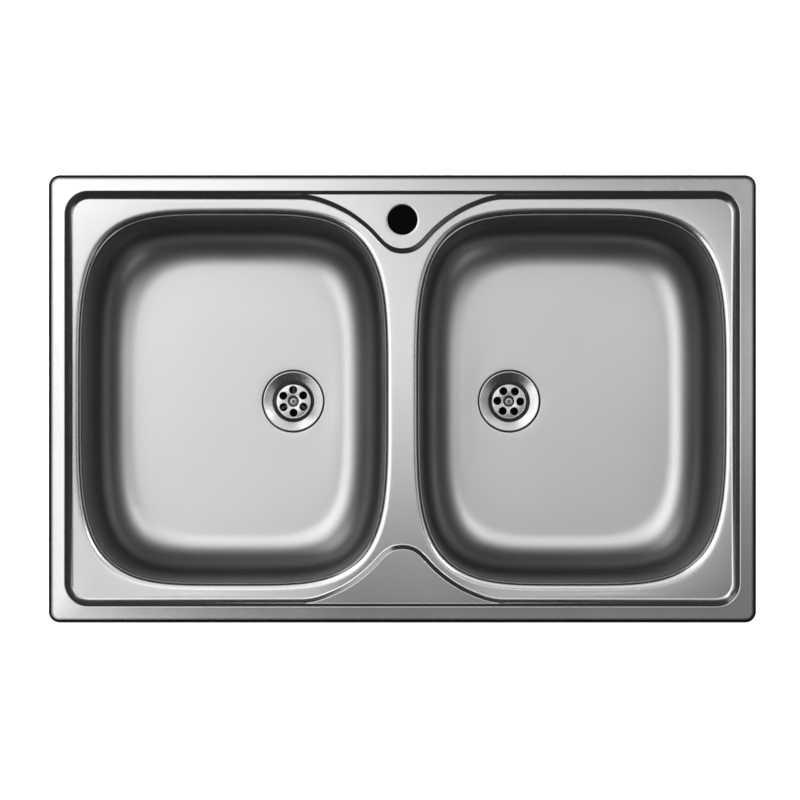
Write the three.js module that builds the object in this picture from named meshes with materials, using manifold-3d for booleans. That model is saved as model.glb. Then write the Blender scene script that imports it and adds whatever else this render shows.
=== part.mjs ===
// Double bowl kitchen sink, inset pattern, pressed from thin stainless sheet.
// Units are millimetres. +X right, +Y towards the tap ledge (rear), +Z up.
// The origin is the centre of the rim's outline, on the worktop's surface.

import * as THREE from 'three';
import { mergeVertices } from 'three/addons/utils/BufferGeometryUtils.js';
import Module from 'manifold-3d';

const wasm = await Module();
wasm.setup();

// ---------------------------------------------------------------- dimensions

const LENGTH = 790;            // rim outline, left to right
const WIDTH = 500;             // rim outline, front to rear
const SHEET = 0.8;             // sheet thickness of deck and bowls
const GAP = 0.3;               // gap left between faces that touch

// Heights above the worktop
const RIM_TOP = 6.0;           // band round the edge, where it meets the first step
const RIM_FALL = 0.3;          // how much lower the band is at the rolled edge
const ISLAND_TOP = 3.8;        // tap ledge and the matching front island
const DECK_TOP = 0.8;          // recessed deck round the bowls

// Distances in from the outline
const ROLL = 3.6;              // radius of the rolled outer edge
const STEP_A = [17.5, 22.1];   // first step, band down to island level
const STEP_B_MID = 24.6;       // centre line of the second step
const STEP_B_HALF = 3.1;       // half its width

// Corner radii of the outline and of the steps
const CORNER_OUT = 12.5;
const CORNER_A_TOP = 27;
const CORNER_A_FOOT = 22.4;
const CORNER_B = 19.9;

// Tap hole
const TAP_Y = 200;
const TAP_R = 16.5;

// Bowl openings
const BOWL_X = 189.4;          // centre of each bowl, left and right
const BOWL_A = 172.8;          // half length of the opening along X
const BOWL_B = 208.3;          // half length along Y
const BOWL_N = 4.1;            // exponent of the bowed outline at the top
const BOWL_DEPTH = 150;        // worktop level down to the bowl's floor
const WALL_FOOT = 105;         // depth at which the floor radius starts
const WALL_DRAFT = 5.4;        // how far the wall leans in above that
const FLOOR_R = 45;            // radius between wall and floor
const LIP_Z = -3.6;            // foot of the deck's turned-down lip

// Wastes
const WASTE_X = 126;           // left and right
const RECESS_R = 37.2;
const RECESS_DEPTH = 5.4;
const WASTE_HOLE_R = 26;
const GRID_HOLES = 6;
const GRID_HOLE_R = 4.45;
const GRID_PCD = 26.8;

// Worktop clamps
const CLAMP_Y = 226;           // screw axis, front and rear
const CLAMP_XS = [-300, -95, 95, 300];

// Tap ledge edge: the second step's centre line, y for every 6 mm of x
const LEDGE_STEP = 6;
const LEDGE_Y = [164.9, 165.4, 167.1, 170.6, 176.0, 182.8, 189.0, 194.3, 199.1,
  203.5, 207.4, 210.9, 213.9, 216.6, 219.0, 221.2, 223.0, 224.2, 224.8, 225.0];

// ------------------------------------------------------------------ materials

const steel = new THREE.MeshStandardMaterial({ color: 0xc4c6c8, roughness: 0.34, metalness: 1.0, flatShading: true });
const bowlSteel = new THREE.MeshStandardMaterial({ color: 0xb9bbbd, roughness: 0.38, metalness: 1.0, flatShading: true });
const polished = new THREE.MeshStandardMaterial({ color: 0xd0d2d4, roughness: 0.18, metalness: 1.0, flatShading: true });
const zinc = new THREE.MeshStandardMaterial({ color: 0xaaaeb2, roughness: 0.45, metalness: 0.9, flatShading: true });
const brass = new THREE.MeshStandardMaterial({ color: 0xb89a4c, roughness: 0.35, metalness: 1.0, flatShading: true });
const rubber = new THREE.MeshStandardMaterial({ color: 0x1d1d1f, roughness: 0.9, metalness: 0.0, flatShading: true });
const foam = new THREE.MeshStandardMaterial({ color: 0x3a3b3d, roughness: 0.95, metalness: 0.0, flatShading: true });
const bitumen = new THREE.MeshStandardMaterial({ color: 0x4a4a48, roughness: 0.95, metalness: 0.0, flatShading: true });
const plastic = new THREE.MeshStandardMaterial({ color: 0x262627, roughness: 0.5, metalness: 0.0, flatShading: true });

// -------------------------------------------------------------------- helpers

// A closed geometry becomes a solid. Shared vertices are merged first, and a
// shape that came out inside-out is turned.
function solid(geometry) {
  const g = geometry.clone();
  for (const name of Object.keys(g.attributes)) if (name !== 'position') g.deleteAttribute(name);
  const m = mergeVertices(g, 1e-4);
  const p = m.attributes.position.array;
  const raw = m.index.array;
  const tri = [];
  let volume = 0;
  for (let i = 0; i < raw.length; i += 3) {
    const [a, b, c] = [raw[i], raw[i + 1], raw[i + 2]];
    if (a === b || b === c || c === a) continue;
    tri.push(a, b, c);
    volume += p[3 * a] * (p[3 * b + 1] * p[3 * c + 2] - p[3 * b + 2] * p[3 * c + 1])
      + p[3 * a + 1] * (p[3 * b + 2] * p[3 * c] - p[3 * b] * p[3 * c + 2])
      + p[3 * a + 2] * (p[3 * b] * p[3 * c + 1] - p[3 * b + 1] * p[3 * c]);
  }
  if (volume < 0) for (let i = 0; i < tri.length; i += 3) [tri[i], tri[i + 1]] = [tri[i + 1], tri[i]];
  return new wasm.Manifold(new wasm.Mesh({
    numProp: 3,
    vertProperties: new Float32Array(p),
    triVerts: new Uint32Array(tri),
  }));
}

function geometryOf(manifold) {
  const mesh = manifold.getMesh();
  const g = new THREE.BufferGeometry();
  const n = mesh.vertProperties.length / mesh.numProp;
  const pos = new Float32Array(n * 3);
  for (let i = 0; i < n; i++) {
    for (let k = 0; k < 3; k++) pos[3 * i + k] = mesh.vertProperties[i * mesh.numProp + k];
  }
  g.setAttribute('position', new THREE.BufferAttribute(pos, 3));
  g.setIndex(new THREE.BufferAttribute(new Uint32Array(mesh.triVerts), 1));
  g.computeVertexNormals();
  return g;
}

// A stack of rings with the same number of points, closed at both ends.
function loft(rings) {
  const n = rings[0].length;
  const pos = [];
  for (const ring of rings) for (const p of ring) pos.push(...p);
  const index = [];
  for (let r = 0; r + 1 < rings.length; r++) {
    for (let i = 0; i < n; i++) {
      const j = (i + 1) % n;
      const [a, b, c, d] = [r * n + i, r * n + j, (r + 1) * n + j, (r + 1) * n + i];
      index.push(a, b, c, a, c, d);
    }
  }
  const cap = (ring, base, turned) => {
    const flat = ring.map((p) => new THREE.Vector2(p[0], p[1]));
    for (const [a, b, c] of THREE.ShapeUtils.triangulateShape(flat, [])) {
      if (turned) index.push(base + a, base + c, base + b);
      else index.push(base + a, base + b, base + c);
    }
  };
  cap(rings[0], 0, true);
  cap(rings[rings.length - 1], (rings.length - 1) * n, false);
  const g = new THREE.BufferGeometry();
  g.setAttribute('position', new THREE.BufferAttribute(new Float32Array(pos), 3));
  g.setIndex(index);
  return solid(g);
}

// A closed profile swept round a closed path: rings[k] is the path at the
// profile's point k, and the last ring joins the first.
function hoop(rings) {
  const n = rings[0].length;
  const m = rings.length;
  const pos = [];
  for (const ring of rings) for (const p of ring) pos.push(...p);
  const index = [];
  for (let r = 0; r < m; r++) {
    const s = (r + 1) % m;
    for (let i = 0; i < n; i++) {
      const j = (i + 1) % n;
      index.push(r * n + i, r * n + j, s * n + j, r * n + i, s * n + j, s * n + i);
    }
  }
  const g = new THREE.BufferGeometry();
  g.setAttribute('position', new THREE.BufferAttribute(new Float32Array(pos), 3));
  g.setIndex(index);
  return solid(g);
}

// A turned piece about Z from [radius, height] points. The profile starts and
// ends on the axis, or is closed on itself.
function turned(points, segments, x = 0, y = 0, z = 0) {
  const g = new THREE.LatheGeometry(points.map(([r, h]) => new THREE.Vector2(r, h)), segments);
  g.rotateX(Math.PI / 2);
  g.translate(x, y, z);
  return solid(g);
}

function ring(rIn, rOut, z0, z1, segments, x = 0, y = 0, z = 0) {
  return turned([[rIn, z0], [rOut, z0], [rOut, z1], [rIn, z1], [rIn, z0]], segments, x, y, z);
}

function rod(r, z0, z1, segments, x = 0, y = 0, z = 0, turn = 0) {
  const g = new THREE.CylinderGeometry(r, r, z1 - z0, segments);
  g.rotateY(turn);
  g.rotateX(Math.PI / 2);
  g.translate(x, y, z + (z0 + z1) / 2);
  return solid(g);
}

function block(x0, x1, y0, y1, z0, z1) {
  const g = new THREE.BoxGeometry(x1 - x0, y1 - y0, z1 - z0);
  g.translate((x0 + x1) / 2, (y0 + y1) / 2, (z0 + z1) / 2);
  return solid(g);
}

function plate(shape, z0, z1, curveSegments = 6) {
  const g = new THREE.ExtrudeGeometry(shape, { depth: z1 - z0, bevelEnabled: false, curveSegments, steps: 1 });
  g.translate(0, 0, z0);
  return solid(g);
}

// ------------------------------------------------------------------- outlines

// Rounded rectangle, a distance d in from the rim's outline.
function rectangle(d, radius, z, perCorner = 5) {
  const hx = LENGTH / 2 - d;
  const hy = WIDTH / 2 - d;
  const out = [];
  [[1, 1, 0], [-1, 1, 90], [-1, -1, 180], [1, -1, 270]].forEach(([sx, sy, start]) => {
    for (let i = 0; i <= perCorner; i++) {
      const a = THREE.MathUtils.degToRad(start + (90 * i) / perCorner);
      out.push([sx * (hx - radius) + radius * Math.cos(a), sy * (hy - radius) + radius * Math.sin(a), z]);
    }
  });
  return out;
}

// Bowed bowl outline: a superellipse about (cx, 0), grown by `grow`.
const BOWL_POINTS = 48;
function bowlRing(cx, a, b, n, z, count = BOWL_POINTS) {
  const out = [];
  for (let i = 0; i < count; i++) {
    // Angles crowd towards the corners, where the outline turns.
    const q = (4 * i) / count;
    const quarter = Math.floor(q);
    const f = q - quarter;
    const t = (quarter + f) * (Math.PI / 2);
    const c = Math.cos(t);
    const s = Math.sin(t);
    const ex = 2 / n;
    const px = Math.sign(c) * Math.abs(c) ** ex;
    const py = Math.sign(s) * Math.abs(s) ** ex;
    out.push([cx + a * px, b * py, z]);
  }
  return out;
}

// The second step's centre line: a rounded rectangle that runs inwards round
// the tap ledge at the rear and the matching island at the front.
const ledge = new THREE.SplineCurve([
  ...LEDGE_Y.map((y, i) => new THREE.Vector2(-i * LEDGE_STEP, y)).reverse(),
  ...LEDGE_Y.map((y, i) => new THREE.Vector2(i * LEDGE_STEP, y)).slice(1),
]);
function stepLine() {
  const rear = ledge.getPoints(30).map((p) => [p.x, p.y]).reverse(); // right to left
  const corners = rectangle(STEP_B_MID, CORNER_B, 0, 5);
  const take = (from) => corners.slice(from, from + 6).map(([x, y]) => [x, y]);
  return [
    ...take(0),
    ...rear,
    ...take(6),
    ...take(12),
    ...rear.map(([x, y]) => [-x, -y]),
    ...take(18),
  ];
}
const STEP_LINE = stepLine();

// The same line moved sideways: positive is towards the bowls.
function stepRing(offset, z) {
  const n = STEP_LINE.length;
  return STEP_LINE.map(([x, y], i) => {
    const [ax, ay] = STEP_LINE[(i + n - 1) % n];
    const [bx, by] = STEP_LINE[(i + 1) % n];
    const length = Math.hypot(bx - ax, by - ay);
    return [x - (offset * (by - ay)) / length, y + (offset * (bx - ax)) / length, z];
  });
}

// ----------------------------------------------------------------- deck panel

// The space under a skin: the deck's top face, or its underside when lowered.
function underSkin(drop, inset, base) {
  const t = RIM_TOP - drop;
  const edge = t - RIM_FALL;
  const r = ROLL - inset;
  const rim = [rectangle(inset, CORNER_OUT - inset, base)];
  for (const a of [0, 30, 60, 90]) {
    const k = THREE.MathUtils.degToRad(a);
    const d = ROLL - r * Math.cos(k);
    rim.push(rectangle(d, CORNER_OUT - d, edge - r + r * Math.sin(k)));
  }
  rim.push(rectangle(STEP_A[0], CORNER_A_TOP, t));
  let body = loft(rim);
  const stepA = loft([
    rectangle(STEP_A[1], CORNER_A_FOOT, ISLAND_TOP - drop),
    rectangle(STEP_A[1] - 0.9, CORNER_A_FOOT + 0.9, ISLAND_TOP - drop + 0.27),
    rectangle(STEP_A[0] + 1.0, CORNER_A_TOP - 1, t - 0.3),
    rectangle(STEP_A[0], CORNER_A_TOP, t),
    rectangle(STEP_A[0], CORNER_A_TOP, t + 2),
  ]);
  const stepB = loft([
    stepRing(STEP_B_HALF, DECK_TOP - drop),
    stepRing(1.3, DECK_TOP - drop + 0.55),
    stepRing(-2.1, ISLAND_TOP - drop - 0.3),
    stepRing(-STEP_B_HALF, ISLAND_TOP - drop),
    stepRing(-STEP_B_HALF, ISLAND_TOP - drop + 1),
  ]);
  body = body.subtract(stepA).subtract(stepB);
  return body;
}

function deckPanel() {
  let deck = underSkin(0, 0, 0).subtract(underSkin(SHEET, SHEET, -4));
  for (const side of [-1, 1]) {
    const cx = side * BOWL_X;
    const hole = loft([
      bowlRing(cx, BOWL_A + 3.4, BOWL_B + 3.4, BOWL_N, -6),
      bowlRing(cx, BOWL_A + 3.4, BOWL_B + 3.4, BOWL_N, 9),
    ]);
    deck = deck.subtract(hole);
    // Turned-down lip round the opening
    const lip = [
      [4.0, DECK_TOP], [1.6, 0.3], [-0.7, -0.6], [-2.3, -1.9], [-2.8, LIP_Z],
      [-2.0, LIP_Z], [-1.5, -2.3], [-0.1, -1.2], [1.7, -0.5], [4.0, 0.0],
    ].map(([d, z]) => bowlRing(cx, BOWL_A + d, BOWL_B + d, BOWL_N, z));
    deck = deck.add(hoop(lip));
  }
  return deck.subtract(rod(TAP_R, -6, 9, 28, 0, TAP_Y));
}

// ---------------------------------------------------------------------- bowls

function bowlSpace(cx, grow, top, closeAt) {
  const a0 = BOWL_A - 2.8 + grow;
  const b0 = BOWL_B - 2.8 + grow;
  const rings = [];
  const r = FLOOR_R + grow;
  const a1 = a0 - WALL_DRAFT;
  const b1 = b0 - WALL_DRAFT;
  for (const deg of [90, 66, 44, 22, 0]) {
    const k = THREE.MathUtils.degToRad(deg);
    const f = 1 - Math.cos(k);
    rings.push(bowlRing(cx, a1 - r + r * Math.cos(k), b1 - r + r * Math.cos(k),
      BOWL_N - 0.6 * f, -WALL_FOOT - r * Math.sin(k)));
  }
  rings.push(bowlRing(cx, a0, b0, BOWL_N, closeAt));
  if (top > closeAt) rings.push(bowlRing(cx, a0, b0, BOWL_N, top));
  return loft(rings);
}

function bowl(side) {
  const cx = side * BOWL_X;
  const wx = side * WASTE_X;
  const top = LIP_Z - GAP;
  const seg = 28;
  const inside = bowlSpace(cx, 0, top + 5, top)
    .add(turned([[0, -BOWL_DEPTH - RECESS_DEPTH], [RECESS_R - 1.4, -BOWL_DEPTH - RECESS_DEPTH],
      [RECESS_R, -BOWL_DEPTH], [RECESS_R, -BOWL_DEPTH + 3], [0, -BOWL_DEPTH + 3]], seg, wx, 0, 0));
  const outside = bowlSpace(cx, SHEET, top, top)
    .add(turned([[0, -BOWL_DEPTH - RECESS_DEPTH - SHEET], [RECESS_R - 1.4 + SHEET, -BOWL_DEPTH - RECESS_DEPTH - SHEET],
      [RECESS_R + SHEET, -BOWL_DEPTH - SHEET], [RECESS_R + SHEET, -BOWL_DEPTH + 3], [0, -BOWL_DEPTH + 3]], seg, wx, 0, 0));
  return outside.subtract(inside)
    .subtract(rod(WASTE_HOLE_R, -BOWL_DEPTH - 20, -BOWL_DEPTH + 1, seg, wx, 0));
}

// ----------------------------------------------------------------- small parts

// Foam strip that lies in the channel under the rim.
function rimSeal() {
  const [d0, d1] = [4.2, 12.2];
  const top = RIM_TOP - RIM_FALL - SHEET - GAP;
  return hoop([
    rectangle(d0, 11, 0), rectangle(d1, 19, 0),
    rectangle(d1, 19, top), rectangle(d0, 11, top),
  ]);
}

// Stiffening plate under the tap ledge.
function tapPlate() {
  const s = new THREE.Shape();
  s.moveTo(30, TAP_Y);
  s.lineTo(30, 226);
  s.lineTo(-30, 226);
  s.lineTo(-30, TAP_Y);
  s.absarc(0, TAP_Y, 30, Math.PI, 2 * Math.PI, false);
  const z1 = ISLAND_TOP - SHEET - GAP;
  return plate(s, z1 - 1.7, z1, 10).subtract(rod(TAP_R + 0.4, -5, 8, 24, 0, TAP_Y));
}

// Sound-deadening pad stuck under a bowl's floor.
function soundPad(side) {
  const [x0, x1, hy, r] = [178, 278, 112, 12];
  const s = new THREE.Shape();
  s.moveTo(x0 + r, -hy);
  s.lineTo(x1 - r, -hy);
  s.absarc(x1 - r, -hy + r, r, -Math.PI / 2, 0, false);
  s.lineTo(x1, hy - r);
  s.absarc(x1 - r, hy - r, r, 0, Math.PI / 2, false);
  s.lineTo(x0 + r, hy);
  s.absarc(x0 + r, hy - r, r, Math.PI / 2, Math.PI, false);
  s.lineTo(x0, -hy + r);
  s.absarc(x0 + r, -hy + r, r, Math.PI, 1.5 * Math.PI, false);
  const z1 = -BOWL_DEPTH - SHEET - GAP;
  const g = new THREE.ExtrudeGeometry(s, { depth: 2, bevelEnabled: false, curveSegments: 4, steps: 1 });
  g.translate(0, 0, z1 - 2);
  if (side < 0) g.rotateZ(Math.PI);
  return solid(g);
}

// ---------------------------------------------------------------------- waste
// Heights in this section are measured from the bowl's floor.

const FLOOR_Z = -BOWL_DEPTH;

// Flange, conical dish and perforated plate in one pressing.
function strainer(side) {
  const profile = [
    [2.9, -12.0], [4.6, -12.0], [6.7, -10.0], [20.0, -10.0], [23.7, -4.8],
    [34.3, -2.0], [35.0, -2.4], [35.0, -3.8], [34.2, -3.8], [34.2, -2.85],
    [24.6, -5.5], [20.9, -10.8], [7.0, -10.8], [4.9, -12.8],
    [2.9, -12.8], [2.9, -12.0],
  ];
  let s = turned(profile, 28, side * WASTE_X, 0, FLOOR_Z);
  for (let i = 0; i < GRID_HOLES; i++) {
    // The left grid has a hole towards the tap, the right one a bar.
    const a = THREE.MathUtils.degToRad((side > 0 ? 118 : 91) + (360 / GRID_HOLES) * i);
    s = s.subtract(rod(GRID_HOLE_R, -14, -7, 10,
      side * WASTE_X + (GRID_PCD / 2) * Math.cos(a), (GRID_PCD / 2) * Math.sin(a), FLOOR_Z));
  }
  return s;
}

// Long machine screw that draws strainer and waste body together.
function wasteScrew(side) {
  const x = side * WASTE_X;
  let s = turned([[0, -34], [2.0, -34], [2.4, -33.4], [2.4, -11.7], [4.2, -11.7], [4.2, -10.9], [3.2, -9.9], [0, -9.6]],
    12, x, 0, FLOOR_Z);
  const slot = new THREE.BoxGeometry(4.4, 0.9, 2.4);
  for (const a of [45, 135]) {
    const g = slot.clone();
    g.rotateZ(THREE.MathUtils.degToRad(a));
    g.translate(x, 0, FLOOR_Z - 9.5);
    s = s.subtract(solid(g));
  }
  return s;
}

// Moulded cup with three spokes, a boss for the insert nut and a threaded tail.
function wasteBody(side) {
  const seg = 28;
  const outer = turned([[0, -78], [23.0, -78], [23.9, -77], [23.9, -41], [30, -31], [30, -13.3], [36.8, -12.2], [36.8, -8.7], [0, -8.7]], seg);
  const inner = turned([[0, -79], [20.5, -79], [20.5, -41], [26.3, -30], [26.3, -7], [0, -7]], seg);
  let s = outer.subtract(inner);
  const boss = turned([[0, -36], [7.6, -36], [7.6, -18], [0, -18]], 14);
  let web = boss;
  for (let i = 0; i < 3; i++) {
    const g = new THREE.BoxGeometry(24, 3.2, 10);
    g.translate(17, 0, -27);
    g.rotateZ(THREE.MathUtils.degToRad(90 + 120 * i));
    web = web.add(solid(g));
  }
  // Keep the spokes within the cup's wall
  web = web.intersect(turned([[0, -40], [24.2, -40], [28, -29], [28, -10], [0, -10]], seg));
  s = s.add(web);
  s = s.subtract(rod(5.6, -29.7, -10, 6)).subtract(rod(3.1, -40, -20, 10));
  const g = geometryOf(s);
  g.translate(side * WASTE_X, 0, FLOOR_Z);
  return solid(g);
}

function insertNut(side) {
  const x = side * WASTE_X;
  return rod(5.2, -29.2, -20.2, 6, x, 0, FLOOR_Z).subtract(rod(2.8, -40, -10, 10, x, 0, FLOOR_Z));
}

const flangeSeal = (side) => ring(30.5, 35.0, -5.1, -4.1, 20, side * WASTE_X, 0, FLOOR_Z);
const bodySeal = (side) => ring(27.6, 36.4, -8.4, -6.5, 20, side * WASTE_X, 0, FLOOR_Z);

// --------------------------------------------------------------------- clamps
// One clamp, with the screw's axis at the origin and +Y towards the rim's edge.

// Folded bracket welded under the deck, with a tapped hole in its shelf.
function lug() {
  const s = new THREE.Shape();
  // Drawn in the Y-Z plane
  s.moveTo(-12, -GAP);
  s.lineTo(-12, -18);
  s.lineTo(6, -18);
  s.lineTo(6, -16.4);
  s.lineTo(-10.4, -16.4);
  s.lineTo(-10.4, -GAP - 1.6);
  s.lineTo(-2.6, -GAP - 1.6);
  s.lineTo(-2.6, -GAP);
  s.lineTo(-12, -GAP);
  const g = new THREE.ExtrudeGeometry(s, { depth: 18, bevelEnabled: false, steps: 1 });
  g.translate(0, 0, -9);
  g.applyMatrix4(new THREE.Matrix4().makeBasis(
    new THREE.Vector3(0, 1, 0), new THREE.Vector3(0, 0, 1), new THREE.Vector3(1, 0, 0)));
  return solid(g).subtract(rod(2.8, -20, -14, 8));
}

// Pressed claw: a flat arm with a heel and a toothed tip that bites the
// worktop's underside.
function claw() {
  const s = new THREE.Shape();
  s.moveTo(-10.5, -47);
  s.lineTo(22.5, -47);
  s.lineTo(22.5, -40);
  s.lineTo(21, -40);
  s.lineTo(21, -45.5);
  s.lineTo(-9, -45.5);
  s.lineTo(-9, -42);
  s.lineTo(-10.5, -42);
  s.lineTo(-10.5, -47);
  const g = new THREE.ExtrudeGeometry(s, { depth: 14, bevelEnabled: false, steps: 1 });
  g.translate(0, 0, -7);
  g.applyMatrix4(new THREE.Matrix4().makeBasis(
    new THREE.Vector3(0, 1, 0), new THREE.Vector3(0, 0, 1), new THREE.Vector3(1, 0, 0)));
  let c = solid(g).subtract(rod(2.95, -50, -44, 8));
  // Teeth: notches along the tip
  for (const x of [-3.5, 3.5]) {
    const n = new THREE.CylinderGeometry(2.6, 2.6, 4, 4);
    n.translate(x, 0, 0);
    const m = new THREE.Matrix4().makeTranslation(0, 21.75, -39.4);
    n.applyMatrix4(m);
    c = c.subtract(solid(n));
  }
  return c;
}

function clampScrew() {
  const s = turned([[0, -52], [4.2, -52], [4.2, -48.8], [5.8, -48.8], [5.8, -47.3],
    [2.45, -47.3], [2.45, -13.5], [0, -13.5]], 8);
  const slot = new THREE.BoxGeometry(10, 1.1, 2.4);
  slot.translate(0, 0, -51.8);
  return s.subtract(solid(slot));
}

// ------------------------------------------------------------------- assembly

const sink = new THREE.Group();

function add(name, manifold, material, parent = sink) {
  const mesh = new THREE.Mesh(geometryOf(manifold), material.clone());
  mesh.name = name;
  parent.add(mesh);
  return mesh;
}

add('deck_panel', deckPanel(), steel);
for (const side of [-1, 1]) {
  const name = side < 0 ? 'left' : 'right';
  add(`${name}_bowl`, bowl(side), bowlSteel);
  add(`${name}_sound_pad`, soundPad(side), bitumen);
  add(`${name}_strainer`, strainer(side), polished);
  add(`${name}_waste_screw`, wasteScrew(side), polished);
  add(`${name}_flange_seal`, flangeSeal(side), rubber);
  add(`${name}_body_seal`, bodySeal(side), rubber);
  add(`${name}_waste_body`, wasteBody(side), plastic);
  add(`${name}_insert_nut`, insertNut(side), brass);
}
add('rim_seal', rimSeal(), foam);
add('tap_plate', tapPlate(), zinc);

[1, -1].forEach((row) => {
  CLAMP_XS.forEach((x, i) => {
    const at = new THREE.Group();
    at.position.set(x, row * CLAMP_Y, 0);
    if (row < 0) at.rotation.z = Math.PI;
    const tag = `${row > 0 ? 'rear' : 'front'}_clamp_${i + 1}`;
    add(`${tag}_lug`, lug(), zinc, at);
    add(`${tag}_claw`, claw(), zinc, at);
    add(`${tag}_screw`, clampScrew(), zinc, at);
    sink.add(at);
  });
});

export default sink;
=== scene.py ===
# Double bowl kitchen sink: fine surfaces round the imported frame.
# Lengths in the helper functions are millimetres; meshes are made in metres.
import math

import bmesh
import bpy
import numpy as np
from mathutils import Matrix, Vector, noise
from mathutils.geometry import delaunay_2d_cdt


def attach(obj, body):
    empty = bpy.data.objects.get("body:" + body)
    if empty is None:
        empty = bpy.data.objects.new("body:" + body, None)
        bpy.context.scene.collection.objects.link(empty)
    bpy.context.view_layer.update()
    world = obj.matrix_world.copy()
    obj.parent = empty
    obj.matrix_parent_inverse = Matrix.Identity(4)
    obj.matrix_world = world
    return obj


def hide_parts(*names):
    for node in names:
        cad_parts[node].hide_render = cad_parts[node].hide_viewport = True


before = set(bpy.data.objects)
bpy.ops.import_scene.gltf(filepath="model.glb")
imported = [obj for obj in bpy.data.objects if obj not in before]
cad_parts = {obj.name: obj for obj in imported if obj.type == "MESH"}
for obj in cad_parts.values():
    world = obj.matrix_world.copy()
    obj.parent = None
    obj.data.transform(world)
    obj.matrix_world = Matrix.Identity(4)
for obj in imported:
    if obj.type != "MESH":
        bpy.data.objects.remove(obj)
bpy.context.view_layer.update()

MM = 0.001
PI = math.pi

# ------------------------------------------------------------------ dimensions
LENGTH, WIDTH = 790.0, 500.0
SHEET = 0.8
RIM_TOP, ISLAND_TOP, DECK_TOP = 6.0, 3.8, 0.8
RIM_FALL = 0.3
ROLL = 3.6
CORNER_OUT = 12.5
A_START, A_RUN, A_CORNER = 17.5, 4.6, 27.0
B_MID, B_HALF = 24.6, 3.1
TAP_Y, TAP_R = 200.0, 16.5
BOWL_X, BOWL_A, BOWL_B, BOWL_N = 189.4, 172.8, 208.3, 4.1
DEPTH, WALL_FOOT, DRAFT, FLOOR_R = 150.0, 105.0, 5.4, 45.0
LIP_Z = -3.6
WASTE_X = 126.0
CLAMP_Y = 226.0
CLAMP_XS = (-300.0, -95.0, 95.0, 300.0)
LEDGE_STEP = 6.0
LEDGE_Y = [164.9, 165.4, 167.1, 170.6, 176.0, 182.8, 189.0, 194.3, 199.1, 203.5,
           207.4, 210.9, 213.9, 216.6, 219.0, 221.2, 223.0, 224.3, 225.1, 225.4]


# ----------------------------------------------------------------- mesh helpers
def make(name, verts, faces, smooth=True, angle=None):
    """Object from millimetre points."""
    me = bpy.data.meshes.new(name)
    me.from_pydata([(x * MM, y * MM, z * MM) for x, y, z in verts], [], faces)
    me.validate()
    bm = bmesh.new()
    bm.from_mesh(me)
    bmesh.ops.remove_doubles(bm, verts=bm.verts, dist=2e-6)
    bmesh.ops.recalc_face_normals(bm, faces=bm.faces)
    for f in bm.faces:
        f.smooth = smooth
    if angle is not None:
        for e in bm.edges:
            if len(e.link_faces) == 2 and e.calc_face_angle(0.0) > math.radians(angle):
                e.smooth = False
    bm.to_mesh(me)
    bm.free()
    ob = bpy.data.objects.new(name, me)
    bpy.context.scene.collection.objects.link(ob)
    return ob


def apply_modifiers(ob):
    dg = bpy.context.evaluated_depsgraph_get()
    me = bpy.data.meshes.new_from_object(ob.evaluated_get(dg), preserve_all_data_layers=True, depsgraph=dg)
    ob.modifiers.clear()
    old = ob.data
    ob.data = me
    me.name = ob.name
    if old.users == 0:
        bpy.data.meshes.remove(old)


def thicken(ob, t, up=True):
    """Sheet metal from its visible skin: the skin keeps its place."""
    me = ob.data
    bm = bmesh.new()
    bm.from_mesh(me)
    bm.normal_update()
    total = sum((f.normal.z * f.calc_area() for f in bm.faces))
    if (total < 0) == up:
        bmesh.ops.reverse_faces(bm, faces=bm.faces)
    bm.to_mesh(me)
    bm.free()
    m = ob.modifiers.new("sheet", "SOLIDIFY")
    m.thickness = t * MM
    m.offset = -1.0
    m.use_even_offset = True
    m.use_quality_normals = True
    apply_modifiers(ob)


class Soup:
    """Points and faces gathered from rings."""

    def __init__(self):
        self.v, self.f = [], []

    def ring(self, pts):
        base = len(self.v)
        self.v += [tuple(p) for p in pts]
        return base, len(pts)

    def bridge(self, a, b):
        (a0, n), (b0, m) = a, b
        assert n == m
        for i in range(n):
            j = (i + 1) % n
            self.f.append((a0 + i, a0 + j, b0 + j, b0 + i))

    def loft(self, rings):
        ids = [self.ring(r) for r in rings]
        for a, b in zip(ids, ids[1:]):
            self.bridge(a, b)
        return ids

    def cap(self, ring_id):
        a0, n = ring_id
        self.f.append(tuple(range(a0, a0 + n)))

    def add(self, verts, faces):
        base = len(self.v)
        self.v += [tuple(p) for p in verts]
        self.f += [tuple(base + i for i in f) for f in faces]


def circle(r, z, n, x=0.0, y=0.0, turn=0.0):
    return [(x + r * math.cos(2 * PI * i / n + turn), y + r * math.sin(2 * PI * i / n + turn), z) for i in range(n)]


def lathe(name, profile, n=96, x=0.0, y=0.0, z=0.0, closed=False, angle=35):
    """Turned piece from [r, z] points: closed profile, or one that starts and ends on the axis."""
    s = Soup()
    pts = list(profile)
    rings = []
    for r, h in pts:
        if r < 1e-6:
            base = len(s.v)
            s.v.append((x, y, z + h))
            rings.append((base, 1))
        else:
            rings.append(s.ring(circle(r, z + h, n, x, y)))
    pairs = list(zip(rings, rings[1:]))
    if closed:
        pairs.append((rings[-1], rings[0]))
    for (a0, na), (b0, nb) in pairs:
        for i in range(n):
            j = (i + 1) % n
            if na == 1 and nb == 1:
                continue
            if na == 1:
                s.f.append((a0, b0 + j, b0 + i))
            elif nb == 1:
                s.f.append((a0 + i, a0 + j, b0))
            else:
                s.f.append((a0 + i, a0 + j, b0 + j, b0 + i))
    return make(name, s.v, s.f, angle=angle)


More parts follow.
